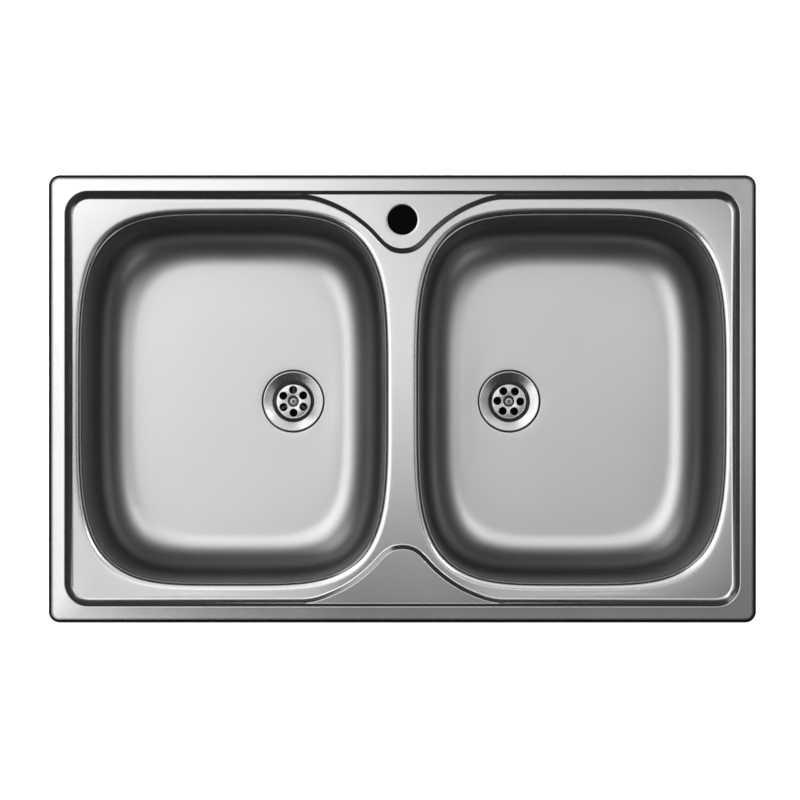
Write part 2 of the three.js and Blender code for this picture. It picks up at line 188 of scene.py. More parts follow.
def fillet_path(points, radius, steps=5):
    """Rounds the corners of an open [r, z] path."""
    out = [points[0]]
    for p0, p1, p2 in zip(points, points[1:], points[2:]):
        a = np.array(p0, float) - p1
        b = np.array(p2, float) - p1
        la, lb = np.linalg.norm(a), np.linalg.norm(b)
        a /= la
        b /= lb
        cosv = float(np.clip(a @ b, -1, 1))
        half = math.acos(cosv) / 2
        rad = radius[len(out) and points.index(p1)] if isinstance(radius, dict) and points.index(p1) in radius else (radius if not isinstance(radius, dict) else 0.0)
        if rad <= 0 or half > PI / 2 - 0.02:
            out.append(tuple(p1))
            continue
        cut = min(rad / math.tan(half), 0.48 * la, 0.48 * lb)
        s, e = np.array(p1) + a * cut, np.array(p1) + b * cut
        for k in range(steps + 1):
            t = k / steps
            q = (1 - t) ** 2 * s + 2 * t * (1 - t) * np.array(p1) + t ** 2 * e
            out.append((float(q[0]), float(q[1])))
    out.append(points[-1])
    return out


# --------------------------------------------------------------------- outlines
def rect_ring(d, radius, z, per=18):
    hx, hy = LENGTH / 2 - d, WIDTH / 2 - d
    out = []
    for sx, sy, start in ((1, 1, 0), (-1, 1, 90), (-1, -1, 180), (1, -1, 270)):
        for i in range(per + 1):
            a = math.radians(start + 90 * i / per)
            out.append((sx * (hx - radius) + radius * math.cos(a), sy * (hy - radius) + radius * math.sin(a), z))
    return out


def superellipse_angles(a, b, n, count):
    """Angles that give evenly spaced points, the same list for every ring of a bowl."""
    t = np.linspace(0, 2 * PI, 16001)
    c, s = np.cos(t), np.sin(t)
    x = a * np.sign(c) * np.abs(c) ** (2 / n)
    y = b * np.sign(s) * np.abs(s) ** (2 / n)
    seg = np.hypot(np.diff(x), np.diff(y))
    length = np.concatenate([[0], np.cumsum(seg)])
    return np.interp(np.arange(count) * length[-1] / count, length, t)


BOWL_COUNT = 240
BOWL_T = superellipse_angles(BOWL_A, BOWL_B, BOWL_N, BOWL_COUNT)


def bowl_ring(cx, a, b, n, z):
    c, s = np.cos(BOWL_T), np.sin(BOWL_T)
    x = cx + a * np.sign(c) * np.abs(c) ** (2 / n)
    y = b * np.sign(s) * np.abs(s) ** (2 / n)
    return [(float(u), float(v), z) for u, v in zip(x, y)]


def catmull(points, per):
    """Catmull-Rom curve through 2-D points."""
    p = [np.array(q, float) for q in points]
    p = [2 * p[0] - p[1]] + p + [2 * p[-1] - p[-2]]
    out = []
    for i in range(1, len(p) - 2):
        for k in range(per):
            t = k / per
            out.append(0.5 * ((2 * p[i]) + (-p[i - 1] + p[i + 1]) * t
                              + (2 * p[i - 1] - 5 * p[i] + 4 * p[i + 1] - p[i + 2]) * t ** 2
                              + (-p[i - 1] + 3 * p[i] - 3 * p[i + 1] + p[i + 2]) * t ** 3))
    out.append(p[-2])
    return np.array(out)


def step_line():
    half = [(i * LEDGE_STEP, y) for i, y in enumerate(LEDGE_Y)]
    pts = [(-x, y) for x, y in reversed(half)] + half[1:]
    curve = catmull(pts, 6)
    # Even out what measuring left in the curve
    k = np.array([1, 4, 7, 9, 7, 4, 1], float)
    k /= k.sum()
    for _ in range(3):
        pad = np.concatenate([np.repeat(curve[:1, 1], 3), curve[:, 1], np.repeat(curve[-1:, 1], 3)])
        curve[:, 1] = np.convolve(pad, k, "valid")
    rear = curve[::-1]
    corner_r = A_CORNER - (B_MID - A_START)
    corners = np.array(rect_ring(B_MID, corner_r, 0.0))[:, :2]
    n = len(corners) // 4
    return np.concatenate([corners[:n], rear, corners[n:2 * n], corners[2 * n:3 * n], -rear, corners[3 * n:]])


STEP_LINE = step_line()


def step_ring(offset):
    p = STEP_LINE
    d = np.roll(p, -1, 0) - np.roll(p, 1, 0)
    d /= np.linalg.norm(d, axis=1)[:, None]
    return p + offset * np.stack([-d[:, 1], d[:, 0]], 1)


# ------------------------------------------------------------------ deck heights
def ramp(u, run, drop, shoulder, foot):
    """Drop along a step whose slope builds up over the shoulder, holds, and dies away over the foot."""
    slope = drop / (run - (shoulder + foot) / 2)
    u = np.clip(u, 0, run)
    top = slope * u ** 2 / (2 * shoulder)
    mid = slope * (u - shoulder / 2)
    end = drop - slope * (run - u) ** 2 / (2 * foot)
    return np.where(u < shoulder, top, np.where(u < run - foot, mid, end))


A_DROP = RIM_TOP - ISLAND_TOP
B_START = 3.4                    # the second step begins where the first one ends, with no ledge between
B_RUN, B_DROP = B_START + B_HALF, ISLAND_TOP - DECK_TOP
A_SHOULDER, A_FOOT = 1.0, 0.9
B_SHOULDER, B_FOOT = 0.9, 1.8
EASE, EASE_SLOPE = 4.6, 0.27     # the deck's gentle fall towards each opening
DRAIN_SLOPE, DRAIN_FLAT, DRAIN_END = 0.03, 14.0, 25.0   # and the strip's own fall, so that it drains


def from_rectangle(x, y, d, corner):
    """Distance outwards from a rounded rectangle that lies d in from the outline."""
    qx = np.abs(x) - (LENGTH / 2 - d - corner)
    qy = np.abs(y) - (WIDTH / 2 - d - corner)
    return np.hypot(np.maximum(qx, 0), np.maximum(qy, 0)) + np.minimum(np.maximum(qx, qy), 0) - corner


def inset_of(x, y):
    """How far in from the outline a point lies, with the corners of the first step."""
    return A_START - from_rectangle(x, y, A_START, A_CORNER)


def band_fall(x, y):
    """The flat band leans outwards a little, down to the rolled edge."""
    out = np.maximum(from_rectangle(x, y, A_START, A_CORNER), 0)
    inn = np.maximum(-from_rectangle(x, y, ROLL, CORNER_OUT - ROLL), 0)
    return RIM_FALL * out / np.maximum(out + inn, 1e-6)


def distance_to(line, x, y):
    """Distance from a closed line, and whether each point is inside it."""
    p, q = line, np.roll(line, -1, 0)
    keep = np.linalg.norm(q - p, axis=1) > 1e-6
    p, q = p[keep], q[keep]
    e = q - p
    dist, inside = np.empty(len(x)), np.empty(len(x), bool)
    for s in range(0, len(x), 4000):
        px, py = x[s:s + 4000, None], y[s:s + 4000, None]
        t = np.clip(((px - p[:, 0]) * e[:, 0] + (py - p[:, 1]) * e[:, 1]) / (e ** 2).sum(1), 0, 1)
        dist[s:s + 4000] = np.hypot(px - p[:, 0] - t * e[:, 0], py - p[:, 1] - t * e[:, 1]).min(1)
        crossing = ((p[:, 1] > py) != (q[:, 1] > py)) & (px < e[:, 0] * (py - p[:, 1]) / np.where(e[:, 1] == 0, 1e-9, e[:, 1]) + p[:, 0])
        inside[s:s + 4000] = crossing.sum(1) % 2 == 1
    return dist, inside


def side_of_step(x, y):
    """Signed distance to the second step's centre line, positive on the bowls' side."""
    dist, inside = distance_to(STEP_LINE, x, y)
    return np.where(inside, dist, -dist)


LIP_OUT = 1.6
LIP_LINES = [np.array(bowl_ring(side * BOWL_X, BOWL_A + LIP_OUT, BOWL_B + LIP_OUT, BOWL_N, 0))[:, :2] for side in (-1, 1)]


def eased(d):
    k = np.clip(1 - d / EASE, 0, 1)
    return EASE_SLOPE * EASE / 2.2 * k ** 2.2


def drained(x, d):
    """How much higher the strip lies a distance d from an opening; the bridge between the bowls is level."""
    k = np.clip((d - DRAIN_FLAT) / (DRAIN_END - DRAIN_FLAT), 0, 1)
    rise = np.minimum(d, DRAIN_FLAT) + (DRAIN_END - DRAIN_FLAT) * (k - k * k / 2)
    w = np.clip((np.abs(x) - 30) / 80, 0, 1)
    return DRAIN_SLOPE * rise * w * w * (3 - 2 * w)


def deck_height(x, y):
    a = ramp(inset_of(x, y) - A_START, A_RUN, A_DROP, A_SHOULDER, A_FOOT)
    b = ramp(side_of_step(x, y) + B_START, B_RUN, B_DROP, B_SHOULDER, B_FOOT)
    near = np.minimum(distance_to(LIP_LINES[0], x, y)[0], distance_to(LIP_LINES[1], x, y)[0])
    low = np.clip(b / B_DROP, 0, 1)
    return RIM_TOP - band_fall(x, y) - a - b - eased(near) + low * low * drained(x, near)


def in_bowl(x, y, grow):
    r = np.minimum((np.abs(x - BOWL_X) / (BOWL_A + grow)) ** BOWL_N, (np.abs(x + BOWL_X) / (BOWL_A + grow)) ** BOWL_N)
    return r + (np.abs(y) / (BOWL_B + grow)) ** BOWL_N < 1


def build_deck():
    points, edges = [], []

    def loop(pts):
        base = len(points)
        points.extend((float(p[0]), float(p[1])) for p in pts)
        n = len(pts)
        edges.extend((base + i, base + (i + 1) % n) for i in range(n))

    outer = rect_ring(ROLL, CORNER_OUT - ROLL, RIM_TOP - RIM_FALL)
    loop(outer)
    loop(rect_ring(ROLL + 0.5, CORNER_OUT - ROLL - 0.5, 0))
    for u in (-0.5, 0.0, 0.2, 0.4, 0.6, 0.8, 1.0, 1.9, 2.8, 3.7, 3.9, 4.1, 4.3, 4.6, 5.1):
        d = A_START + u
        loop(rect_ring(d, A_CORNER - u, 0))
    for o in (-4.4, -3.6, -3.4, -3.25, -3.1, -2.9, -2.7, -2.5, -2.3, -2.1, -1.2, -0.4, 0.4, 1.3, 1.6, 1.9, 2.2, 2.5, 2.8, 3.1, 3.6):
        loop(step_ring(o))
    lips = []
    low = DECK_TOP - float(eased(np.array([0.0]))[0])
    for side in (-1, 1):
        for out in (EASE + 2.4, EASE + 0.4, EASE, 4.0, 3.4, 2.7, 2.0, 1.4, 0.9, 0.4):
            d = LIP_OUT + out
            loop(bowl_ring(side * BOWL_X, BOWL_A + d, BOWL_B + d, BOWL_N, 0))
        r = bowl_ring(side * BOWL_X, BOWL_A + LIP_OUT, BOWL_B + LIP_OUT, BOWL_N, low)
        lips.append(r)
        loop(r)
    tap = circle(TAP_R + 0.9, ISLAND_TOP, 96, 0, TAP_Y)
    loop(tap)
    loop(circle(TAP_R + 3.0, ISLAND_TOP, 96, 0, TAP_Y))
    v, _, f, *_ = delaunay_2d_cdt([Vector(p) for p in points], edges, [], 0, 1e-5)
    vx, vy = np.array([p.x for p in v]), np.array([p.y for p in v])
    vz = deck_height(vx, vy)
    tri = np.array([list(t) for t in f])
    mx, my = vx[tri].mean(1), vy[tri].mean(1)
    qx = np.abs(mx) - (LENGTH / 2 - CORNER_OUT)
    qy = np.abs(my) - (WIDTH / 2 - CORNER_OUT)
    sd = np.hypot(np.maximum(qx, 0), np.maximum(qy, 0)) + np.minimum(np.maximum(qx, qy), 0) - (CORNER_OUT - ROLL)
    keep = (sd < 0.0) & ~in_bowl(mx, my, LIP_OUT) & (np.hypot(mx, my - TAP_Y) > TAP_R + 0.9)
    s = Soup()
    s.add(np.stack([vx, vy, vz], 1), [tuple(int(i) for i in t) for t in tri[keep]])
    # Rolled edge and the skirt below it
    rings = [outer]
    for a in np.radians(np.linspace(90, 0, 13))[1:]:
        d = ROLL - ROLL * math.cos(a)
        rings.append(rect_ring(d, CORNER_OUT - d, RIM_TOP - RIM_FALL - ROLL + ROLL * math.sin(a)))
    rings.append(rect_ring(0, CORNER_OUT, 1.2))
    rings.append(rect_ring(0, CORNER_OUT, 0.02))
    s.loft(rings)
    # Lips turned down into the bowls
    # Quarter of an ellipse that starts at the deck's slope
    a0, ea, eb = math.radians(29.9), 8.77, 4.12
    fit = (low - LIP_Z) / (eb * math.cos(a0))
    for side, top in zip((-1, 1), lips):
        rings = [top]
        for a in np.linspace(a0, PI / 2, 17)[1:]:
            d = LIP_OUT - ea * (math.sin(a) - math.sin(a0))
            rings.append(bowl_ring(side * BOWL_X, BOWL_A + d, BOWL_B + d, BOWL_N, low - fit * eb * (math.cos(a0) - math.cos(a))))
        s.loft(rings)
    # Edge of the tap hole
    rings = [tap]
    for a in np.radians([30, 60, 90]):
        rings.append(circle(TAP_R + 0.9 - 0.9 * math.sin(a), ISLAND_TOP - 0.9 * (1 - math.cos(a)), 96, 0, TAP_Y))
    s.loft(rings)
    ob = make("deck", s.v, s.f)
    thicken(ob, SHEET)
    return ob


def build_bowl(side):
    cx, wx = side * BOWL_X, side * WASTE_X
    a0, b0 = BOWL_A - 2.8, BOWL_B - 2.8
    a1, b1 = a0 - DRAFT, b0 - DRAFT
    top = LIP_Z - 0.3
    s = Soup()
    rings = [bowl_ring(cx, a0, b0, BOWL_N, top)]
    # Ground weld line just under the lip
    for d, z in ((-0.005, -0.02), (-0.05, -0.12), (-0.13, -0.36), (-0.25, -0.72), (-0.42, -1.2), (-0.62, -1.7), (-0.75, -2.0)):
        rings.append(bowl_ring(cx, a0 + d, b0 + d, BOWL_N, top + z))
    wall = 14
    z0 = top - 2.0
    for i in range(1, wall + 1):
        t = i / wall
        d = -0.75 + (-DRAFT + 0.75) * t
        rings.append(bowl_ring(cx, a0 + d, b0 + d, BOWL_N, z0 + (-WALL_FOOT - z0) * t))
    bottom = -DEPTH + 0.6
    r = -WALL_FOOT - bottom
    for deg in np.linspace(0, 90, 31)[1:]:
        k = math.radians(deg)
        f = math.sin(k) ** 2
        # The floor's radius is a little softer than a circle where it runs out
        run = FLOOR_R * (1 - math.cos(k))
        rings.append(bowl_ring(cx, a1 - run, b1 - run, BOWL_N - 0.1 * (1 - math.cos(k)), -WALL_FOOT - r * math.sin(k)))
    ids = s.loft(rings)
    # Floor, falling gently to the waste
    edge = np.array(rings[-1])
    ang = np.arctan2(edge[:, 1], edge[:, 0] - wx)
    rim = np.stack([wx + 37.3 * np.cos(ang), 37.3 * np.sin(ang)], 1)
    floor = []
    for i in range(1, 17):
        t = i / 16
        xy = edge[:, :2] * (1 - t) + rim * t
        z = bottom + (-DEPTH - bottom) * (3 * t * t - 2 * t ** 3)
        floor.append([(float(p[0]), float(p[1]), z) for p in xy])
    # Recess for the waste
    for rr, dz in ((36.9, -0.03), (36.65, -0.13), (36.45, -0.33), (36.3, -0.65), (36.2, -1.2), (36.15, -3.0), (36.1, -4.6), (35.7, -5.2), (34.9, -5.4), (31.0, -5.4), (26.6, -5.4), (26.2, -5.5), (26.0, -5.8)):
        floor.append([(wx + rr * math.cos(a), rr * math.sin(a), -DEPTH + dz) for a in ang])
    prev = ids[-1]
    for pts in floor:
        cur = s.ring(pts)
        s.bridge(prev, cur)
        prev = cur
    ob = make("bowl_left" if side < 0 else "bowl_right", s.v, s.f)
    thicken(ob, SHEET)
    return ob


# ----------------------------------------------------------------------- wastes
def build_strainer(side):
    x = side * WASTE_X
    turn = math.radians(91 if side < 0 else 118)
    n = 144
    s = Soup()
    zf = -DEPTH
    # Flange and dish
    prof = fillet_path([(34.95, -3.7), (34.95, -2.1), (33.9, -2.0), (24.3, -4.65), (19.9, -10.0), (19.2, -10.0)],
                       {1: 0.5, 2: 0.8, 3: 0.9, 4: 0.6}, 6)
    rings = [circle(r, zf + z, n, x) for r, z in prof]
    s.loft(rings)
    # Plate with six holes, slightly crowned
    def plate_z(px, py):
        r = np.hypot(px - x, py)
        return zf - 10.0 + 0.35 * np.clip(np.sin(PI * np.clip((r - 6.7) / (19.2 - 6.7), 0, 1)), 0, 1)

    pts, edges = [], []

    def loop(ring):
        base = len(pts)
        pts.extend((float(p[0]), float(p[1])) for p in ring)
        edges.extend((base + i, base + (i + 1) % len(ring)) for i in range(len(ring)))

    loop(circle(19.2, 0, n, x))
    loop(circle(18.5, 0, n, x))
    loop(circle(6.7, 0, 72, x))
    loop(circle(7.4, 0, 72, x))
    holes = []
    for i in range(6):
        a = turn + i * PI / 3
        hx, hy = x + 13.4 * math.cos(a), 13.4 * math.sin(a)
        holes.append((hx, hy))
        loop(circle(5.0, 0, 48, hx, hy))
        loop(circle(5.35, 0, 48, hx, hy))
    v, _, f, *_ = delaunay_2d_cdt([Vector(p) for p in pts], edges, [], 0, 1e-5)
    vx, vy = np.array([p.x for p in v]), np.array([p.y for p in v])
    tri = np.array([list(t) for t in f])
    mx, my = vx[tri].mean(1), vy[tri].mean(1)
    keep = (np.hypot(mx - x, my) < 19.2) & (np.hypot(mx - x, my) > 6.7)
    for hx, hy in holes:
        keep &= np.hypot(mx - hx, my - hy) > 5.0 * math.cos(PI / 48)
    s.add(np.stack([vx, vy, plate_z(vx, vy)], 1), [tuple(int(i) for i in t) for t in tri[keep]])
    for hx, hy in holes:
        rings = []
        for a in (0, 30, 60, 90):
            k = math.radians(a)
            ring = circle(5.0 - 0.55 * math.sin(k), 0, 48, hx, hy)
            z = plate_z(np.array([p[0] for p in ring]), np.array([p[1] for p in ring]))
            rings.append([(p[0], p[1], float(zz) - 0.55 * (1 - math.cos(k))) for p, zz in zip(ring, z)])
        s.loft(rings)
    # Dimple for the screw's head
    prof = fillet_path([(6.7, -10.0), (6.45, -10.05), (4.7, -12.3), (2.95, -12.3)], 0.25, 4)
    s.loft([circle(r, zf + z, 72, x) for r, z in prof])
    ob = make("strainer_left" if side < 0 else "strainer_right", s.v, s.f)
    thicken(ob, 0.7)
    return ob


def build_waste_screw(side):
    x = side * WASTE_X
    zf = -DEPTH
    n = 48
    prof = [(0, -9.62), (1.6, -9.63), (2.9, -9.67), (3.35, -9.72), (3.55, -9.8), (3.75, -10.0), (3.95, -10.5), (4.1, -11.4), (4.0, -11.95), (2.4, -12.0)]
    z = -12.7
    while z > -33.0:
        prof += [(2.4, z), (2.08, z - 0.2), (2.08, z - 0.3), (2.4, z - 0.5)]
        z -= 0.8
    prof += [(2.3, -33.4), (1.9, -34.0), (0, -34.0)]
    ob = lathe("waste_screw_left" if side < 0 else "waste_screw_right", prof, n, x, 0, zf)
    # Cross recess
    cut = Soup()
    for a in (45, 135):
        k = math.radians(a)
        c, s = math.cos(k), math.sin(k)
        quad = []
        for half, zz in ((2.6, -9.3), (1.2, -11.9)):
            w = 0.8 if zz > -10 else 0.08
            quad.append([(x + u * c - v * s, u * s + v * c, zf + zz) for u, v in ((-half, -w), (half, -w), (half, w), (-half, w))])
        base = len(cut.v)
        cut.v += quad[0] + quad[1]
        cut.f += [tuple(base + i for i in q) for q in ((0, 1, 2, 3), (7, 6, 5, 4), (0, 4, 5, 1), (1, 5, 6, 2), (2, 6, 7, 3), (3, 7, 4, 0))]
    # The two bars as separate cutters
    for k in range(2):
        cutter = make("cutter", cut.v[8 * k:8 * k + 8], [tuple(i - 8 * k for i in q) for q in cut.f[6 * k:6 * k + 6]], smooth=False)
        m = ob.modifiers.new("cross", "BOOLEAN")
        m.operation = "DIFFERENCE"
        m.solver = "EXACT"
        m.object = cutter
        apply_modifiers(ob)
        bpy.data.objects.remove(cutter)
    # The recess keeps its flat walls
    for poly in ob.data.polygons:
        c = poly.center / MM
        if math.hypot(c.x - x, c.y) < 2.8 and -12.2 < c.z - zf < -9.72:
            poly.use_smooth = False
    return ob


def build_waste_body(side):
    x = side * WASTE_X
    zf = -DEPTH
    n = 96
    # Outside: flange, ribbed collar, neck and threaded tail. Inside: mouth, cone, bore.
    outer = [(26.3, -8.8), (36.3, -8.8), (36.8, -9.2), (36.8, -11.8), (36.4, -12.3), (30.6, -13.2), (30.0, -14.0), (30.0, -29.5), (29.5, -31.2), (24.4, -40.2), (23.2, -41.6), (23.2, -43.0)]
    z = -43.6
    while z > -76.2:
        outer += [(23.0, z), (23.9, z - 0.75), (23.9, z - 1.05), (23.0, z - 1.8)]
        z -= 2.31
    outer += [(23.0, -77.2), (22.6, -77.9), (20.9, -77.9), (20.5, -77.5), (20.5, -41.0), (26.3, -30.0)]
    ob = lathe("waste_body_left" if side < 0 else "waste_body_right", outer, n, x, 0, zf, closed=True, angle=40)
    bm = bmesh.new()
    bm.from_mesh(ob.data)
    # Grip ribs round the collar, the three spokes and the boss
    def box(cx, cy, cz, lx, ly, lz, turn):
        c, s = math.cos(turn), math.sin(turn)
        vs = []
        for dz in (-lz / 2, lz / 2):
            for dx, dy in ((-lx / 2, -ly / 2), (lx / 2, -ly / 2), (lx / 2, ly / 2), (-lx / 2, ly / 2)):
                u, v = cx + dx, cy + dy
                vs.append(bm.verts.new(((x + u * c - v * s) * MM, (u * s + v * c) * MM, (zf + cz + dz) * MM)))
        for q in ((3, 2, 1, 0), (4, 5, 6, 7), (0, 1, 5, 4), (1, 2, 6, 5), (2, 3, 7, 6), (3, 0, 4, 7)):
            bm.faces.new([vs[i] for i in q])
    for i in range(24):
        box(30.2, 0, -21.5, 1.6, 1.6, 14.5, 2 * PI * i / 24)
    for i in range(3):
        box(17.2, 0, -27, 20.0, 3.0, 9.6, PI / 2 + 2 * PI * i / 3)
    hexa = [(5.35 * math.cos(PI / 3 * i + PI / 6), 5.35 * math.sin(PI / 3 * i + PI / 6)) for i in range(6)]
    rings = []
    for r, zz in ((7.6, -18.4), (7.6, -35.6), (7.1, -36.0), (3.3, -36.0), (3.1, -35.6), (3.1, -29.9)):
        rings.append([bm.verts.new(((x + r * math.cos(2 * PI * i / 48)) * MM, r * math.sin(2 * PI * i / 48) * MM, (zf + zz) * MM)) for i in range(48)])
    def hexring(zz):
        out = []
        for i in range(48):
            a = 2 * PI * i / 48
            m = (a - PI / 6) % (PI / 3) - PI / 6
            r = 5.35 * math.cos(PI / 6) / math.cos(m)
            out.append(bm.verts.new(((x + r * math.cos(a)) * MM, r * math.sin(a) * MM, (zf + zz) * MM)))
        return out
    rings.append(hexring(-29.9))
    rings.append(hexring(-18.2))
    rings.append([bm.verts.new(((x + 7.2 * math.cos(2 * PI * i / 48)) * MM, 7.2 * math.sin(2 * PI * i / 48) * MM, (zf - 18.0) * MM)) for i in range(48)])
    for a, b in zip(rings, rings[1:] + rings[:1]):
        for i in range(48):
            j = (i + 1) % 48
            bm.faces.new((a[i], a[j], b[j], b[i]))
    bmesh.ops.recalc_face_normals(bm, faces=bm.faces)
    for e in bm.edges:
        if len(e.link_faces) == 2 and e.calc_face_angle(0.0) > math.radians(38):
            e.smooth = False
    bm.to_mesh(ob.data)
    bm.free()
    return ob


# ------------------------------------------------------------------ under parts
def hoop(name, rings, angle=40):
    s = Soup()
    ids = [s.ring(r) for r in rings]
    for a, b in zip(ids, ids[1:] + ids[:1]):
        s.bridge(a, b)
    return make(name, s.v, s.f, angle=angle)


def build_rim_seal():
    d0, d1, h = 4.4, 12.1, RIM_TOP - RIM_FALL - SHEET - 0.35
    prof = [(d0 + 0.7, 0.06), (d1 - 0.7, 0.06), (d1 - 0.2, 0.25), (d1, 0.8), (d1 - 0.15, h / 2), (d1, h - 0.6), (d1 - 0.5, h), (d0 + 0.5, h), (d0, h - 0.6), (d0 + 0.15, h / 2), (d0, 0.8), (d0 + 0.2, 0.25)]
    return hoop("foam_strip", [rect_ring(d, 11 + d - 4.2, z, 12) for d, z in prof])


def rounded_plate(name, outline, z0, z1, bevel, hole=None):
    """Flat plate with rounded edges from an outline."""
    s = Soup()
    def inset(pts, d):
        p = np.array(pts)
        t = np.roll(p, -1, 0) - np.roll(p, 1, 0)
        t /= np.linalg.norm(t, axis=1)[:, None]
        return p + d * np.stack([-t[:, 1], t[:, 0]], 1)
    levels = []
    for a in np.radians(np.linspace(90, 0, 5)):
        levels.append((bevel * (1 - math.cos(a)), z1 - bevel + bevel * math.sin(a)))
    for a in np.radians(np.linspace(0, 90, 5)):
        levels.append((bevel * (1 - math.cos(a)), z0 + bevel - bevel * math.sin(a)))
    ids = [s.ring([(p[0], p[1], z) for p in inset(outline, d)]) for d, z in levels]
    for a, b in zip(ids, ids[1:]):
        s.bridge(a, b)
    if hole is None:
        s.cap(ids[0])
        s.cap(ids[-1])
    else:
        hx, hy, hr = hole
        n = 96
        for ring_id, zz in ((ids[0], z1), (ids[-1], z0)):
            b0, m = ring_id
            pts = [(s.v[b0 + i][0], s.v[b0 + i][1]) for i in range(m)]
            c = circle(hr, 0, n, hx, hy)
            allp = pts + [(p[0], p[1]) for p in c]
            e = [(i, (i + 1) % m) for i in range(m)] + [(m + i, m + (i + 1) % n) for i in range(n)]
            v, _, f, *_ = delaunay_2d_cdt([Vector(p) for p in allp], e, [], 1, 1e-6)
            keep = []
            for t in f:
                cxx = sum(v[i].x for i in t) / len(t)
                cyy = sum(v[i].y for i in t) / len(t)
                if math.hypot(cxx - hx, cyy - hy) > hr * math.cos(PI / n) - 1e-6:
                    keep.append(tuple(t))
            s.add([(p.x, p.y, zz) for p in v], keep)
        s.loft([circle(hr, z1, n, hx, hy), circle(hr, z0, n, hx, hy)])
    return make(name, s.v, s.f, angle=45)


def build_sound_pad(side):
    x0, x1, hy, r = 178.2, 277.8, 111.8, 12
    pts = []
    for cx, cy, st in ((x1 - r, hy - r, 0), (x0 + r, hy - r, 90), (x0 + r, -hy + r, 180), (x1 - r, -hy + r, 270)):
        for i in range(9):
            a = math.radians(st + 90 * i / 8)
            pts.append((cx + r * math.cos(a), cy + r * math.sin(a)))
    if side < 0:
        pts = [(-x, -y) for x, y in pts]
    z1 = -DEPTH - SHEET - 0.3
    ob = rounded_plate("sound_pad_left" if side < 0 else "sound_pad_right", pts, z1 - 1.95, z1 - 0.02, 0.6)
    # Pressed grid of shallow pockets on the face that shows
    bm = bmesh.new()
    bm.from_mesh(ob.data)
    low = [f for f in bm.faces if f.normal.z < -0.9 and f.calc_area() > 1e-3]
    if low:
        bmesh.ops.delete(bm, geom=low, context="FACES_ONLY")
        rim = [e for e in bm.edges if e.is_boundary]
        zlow = (z1 - 1.95) * MM
        sx = 1 if side > 0 else -1
        cell, gap = 14.0, 3.0
        xs = np.arange(x0 + 8, x1 - 8 - cell + 0.1, cell)
        ys = np.arange(-hy + 8, hy - 8 - cell + 0.1, cell)
        offx = ((x1 - 8) - (xs[-1] + cell)) / 2
        offy = ((hy - 8) - (ys[-1] + cell)) / 2
        pts2, edges2 = [], []
        order = [e.verts for e in rim]
        index = {}
        for a, b in order:
            for q in (a, b):
                if q not in index:
                    index[q] = len(pts2)
                    pts2.append((q.co.x / MM, q.co.y / MM))
            edges2.append((index[a], index[b]))
        pockets = []
        for px in xs:
            for py in ys:
                c = [(sx * (px + offx + u), py + offy + v) for u, v in ((gap / 2, gap / 2), (cell - gap / 2, gap / 2), (cell - gap / 2, cell - gap / 2), (gap / 2, cell - gap / 2))]
                base = len(pts2)
                pts2 += c
                edges2 += [(base + i, base + (i + 1) % 4) for i in range(4)]
                pockets.append(c)
        v, _, f, *_ = delaunay_2d_cdt([Vector(p) for p in pts2], edges2, [], 1, 1e-6)
        s = Soup()
        faces = []
        for t in f:
            mx = sum(v[i].x for i in t) / len(t)
            my = sum(v[i].y for i in t) / len(t)
            if not any(min(q[0] for q in c) < mx < max(q[0] for q in c) and min(q[1] for q in c) < my < max(q[1] for q in c) for c in pockets):
                faces.append(tuple(t))
        s.add([(p.x, p.y, zlow / MM) for p in v], faces)
        for c in pockets:
            mx, my = sum(q[0] for q in c) / 4, sum(q[1] for q in c) / 4
            top = s.ring([(q[0], q[1], zlow / MM) for q in c])
            inn = s.ring([(mx + (q[0] - mx) * 0.86, my + (q[1] - my) * 0.86, zlow / MM + 0.7) for q in c])
            s.bridge(top, inn)
            s.cap(inn)
        bm2 = bmesh.new()
        part = make("tmp", s.v, s.f, smooth=False)
        bm2.from_mesh(part.data)
        me_tmp = part.data
        bpy.data.objects.remove(part)
        bm.from_mesh(me_tmp)
        bm2.free()
        bmesh.ops.remove_doubles(bm, verts=bm.verts, dist=2e-6)
        bmesh.ops.recalc_face_normals(bm, faces=bm.faces)
        for e in bm.edges:
            if len(e.link_faces) == 2 and e.calc_face_angle(0.0) > math.radians(30):
                e.smooth = False
    bm.to_mesh(ob.data)
    bm.free()
    return ob


def bent_strip(name, path, half_width, t, hole=None, end_cut=None, bend_r=1.6, bevel=0.25):
    """Folded strip of sheet: path is its centre line in the Y-Z plane."""
    pts = fillet_path(path, bend_r, 6)
    p = np.array(pts)
    seg = np.roll(p, -1, 0) - p
    seg = seg[:-1] / np.linalg.norm(seg[:-1], axis=1)[:, None]
    nrm = []
    for i in range(len(p)):
        a = seg[max(i - 1, 0)]
        b = seg[min(i, len(seg) - 1)]
        m = a + b
        m /= np.linalg.norm(m)
        nrm.append((-m[1], m[0]))
    nrm = np.array(nrm)
    up, dn = p + nrm * t / 2, p - nrm * t / 2
    loop = np.concatenate([up, dn[::-1]])
    s = Soup()
    rings = []
    for x in (-half_width, half_width):
        rings.append(s.ring([(x, q[0], q[1]) for q in loop]))
    s.bridge(rings[0], rings[1])
    n = len(up)
    for base, _ in rings:
        for i in range(n - 1):
            s.f.append((base + i, base + i + 1, base + 2 * n - 2 - i, base + 2 * n - 1 - i))
    return s


def cut_with(ob, cutter):
    m = ob.modifiers.new("cut", "BOOLEAN")
    m.operation = "DIFFERENCE"
    m.solver = "EXACT"
    m.object = cutter
    apply_modifiers(ob)
    bpy.data.objects.remove(cutter)


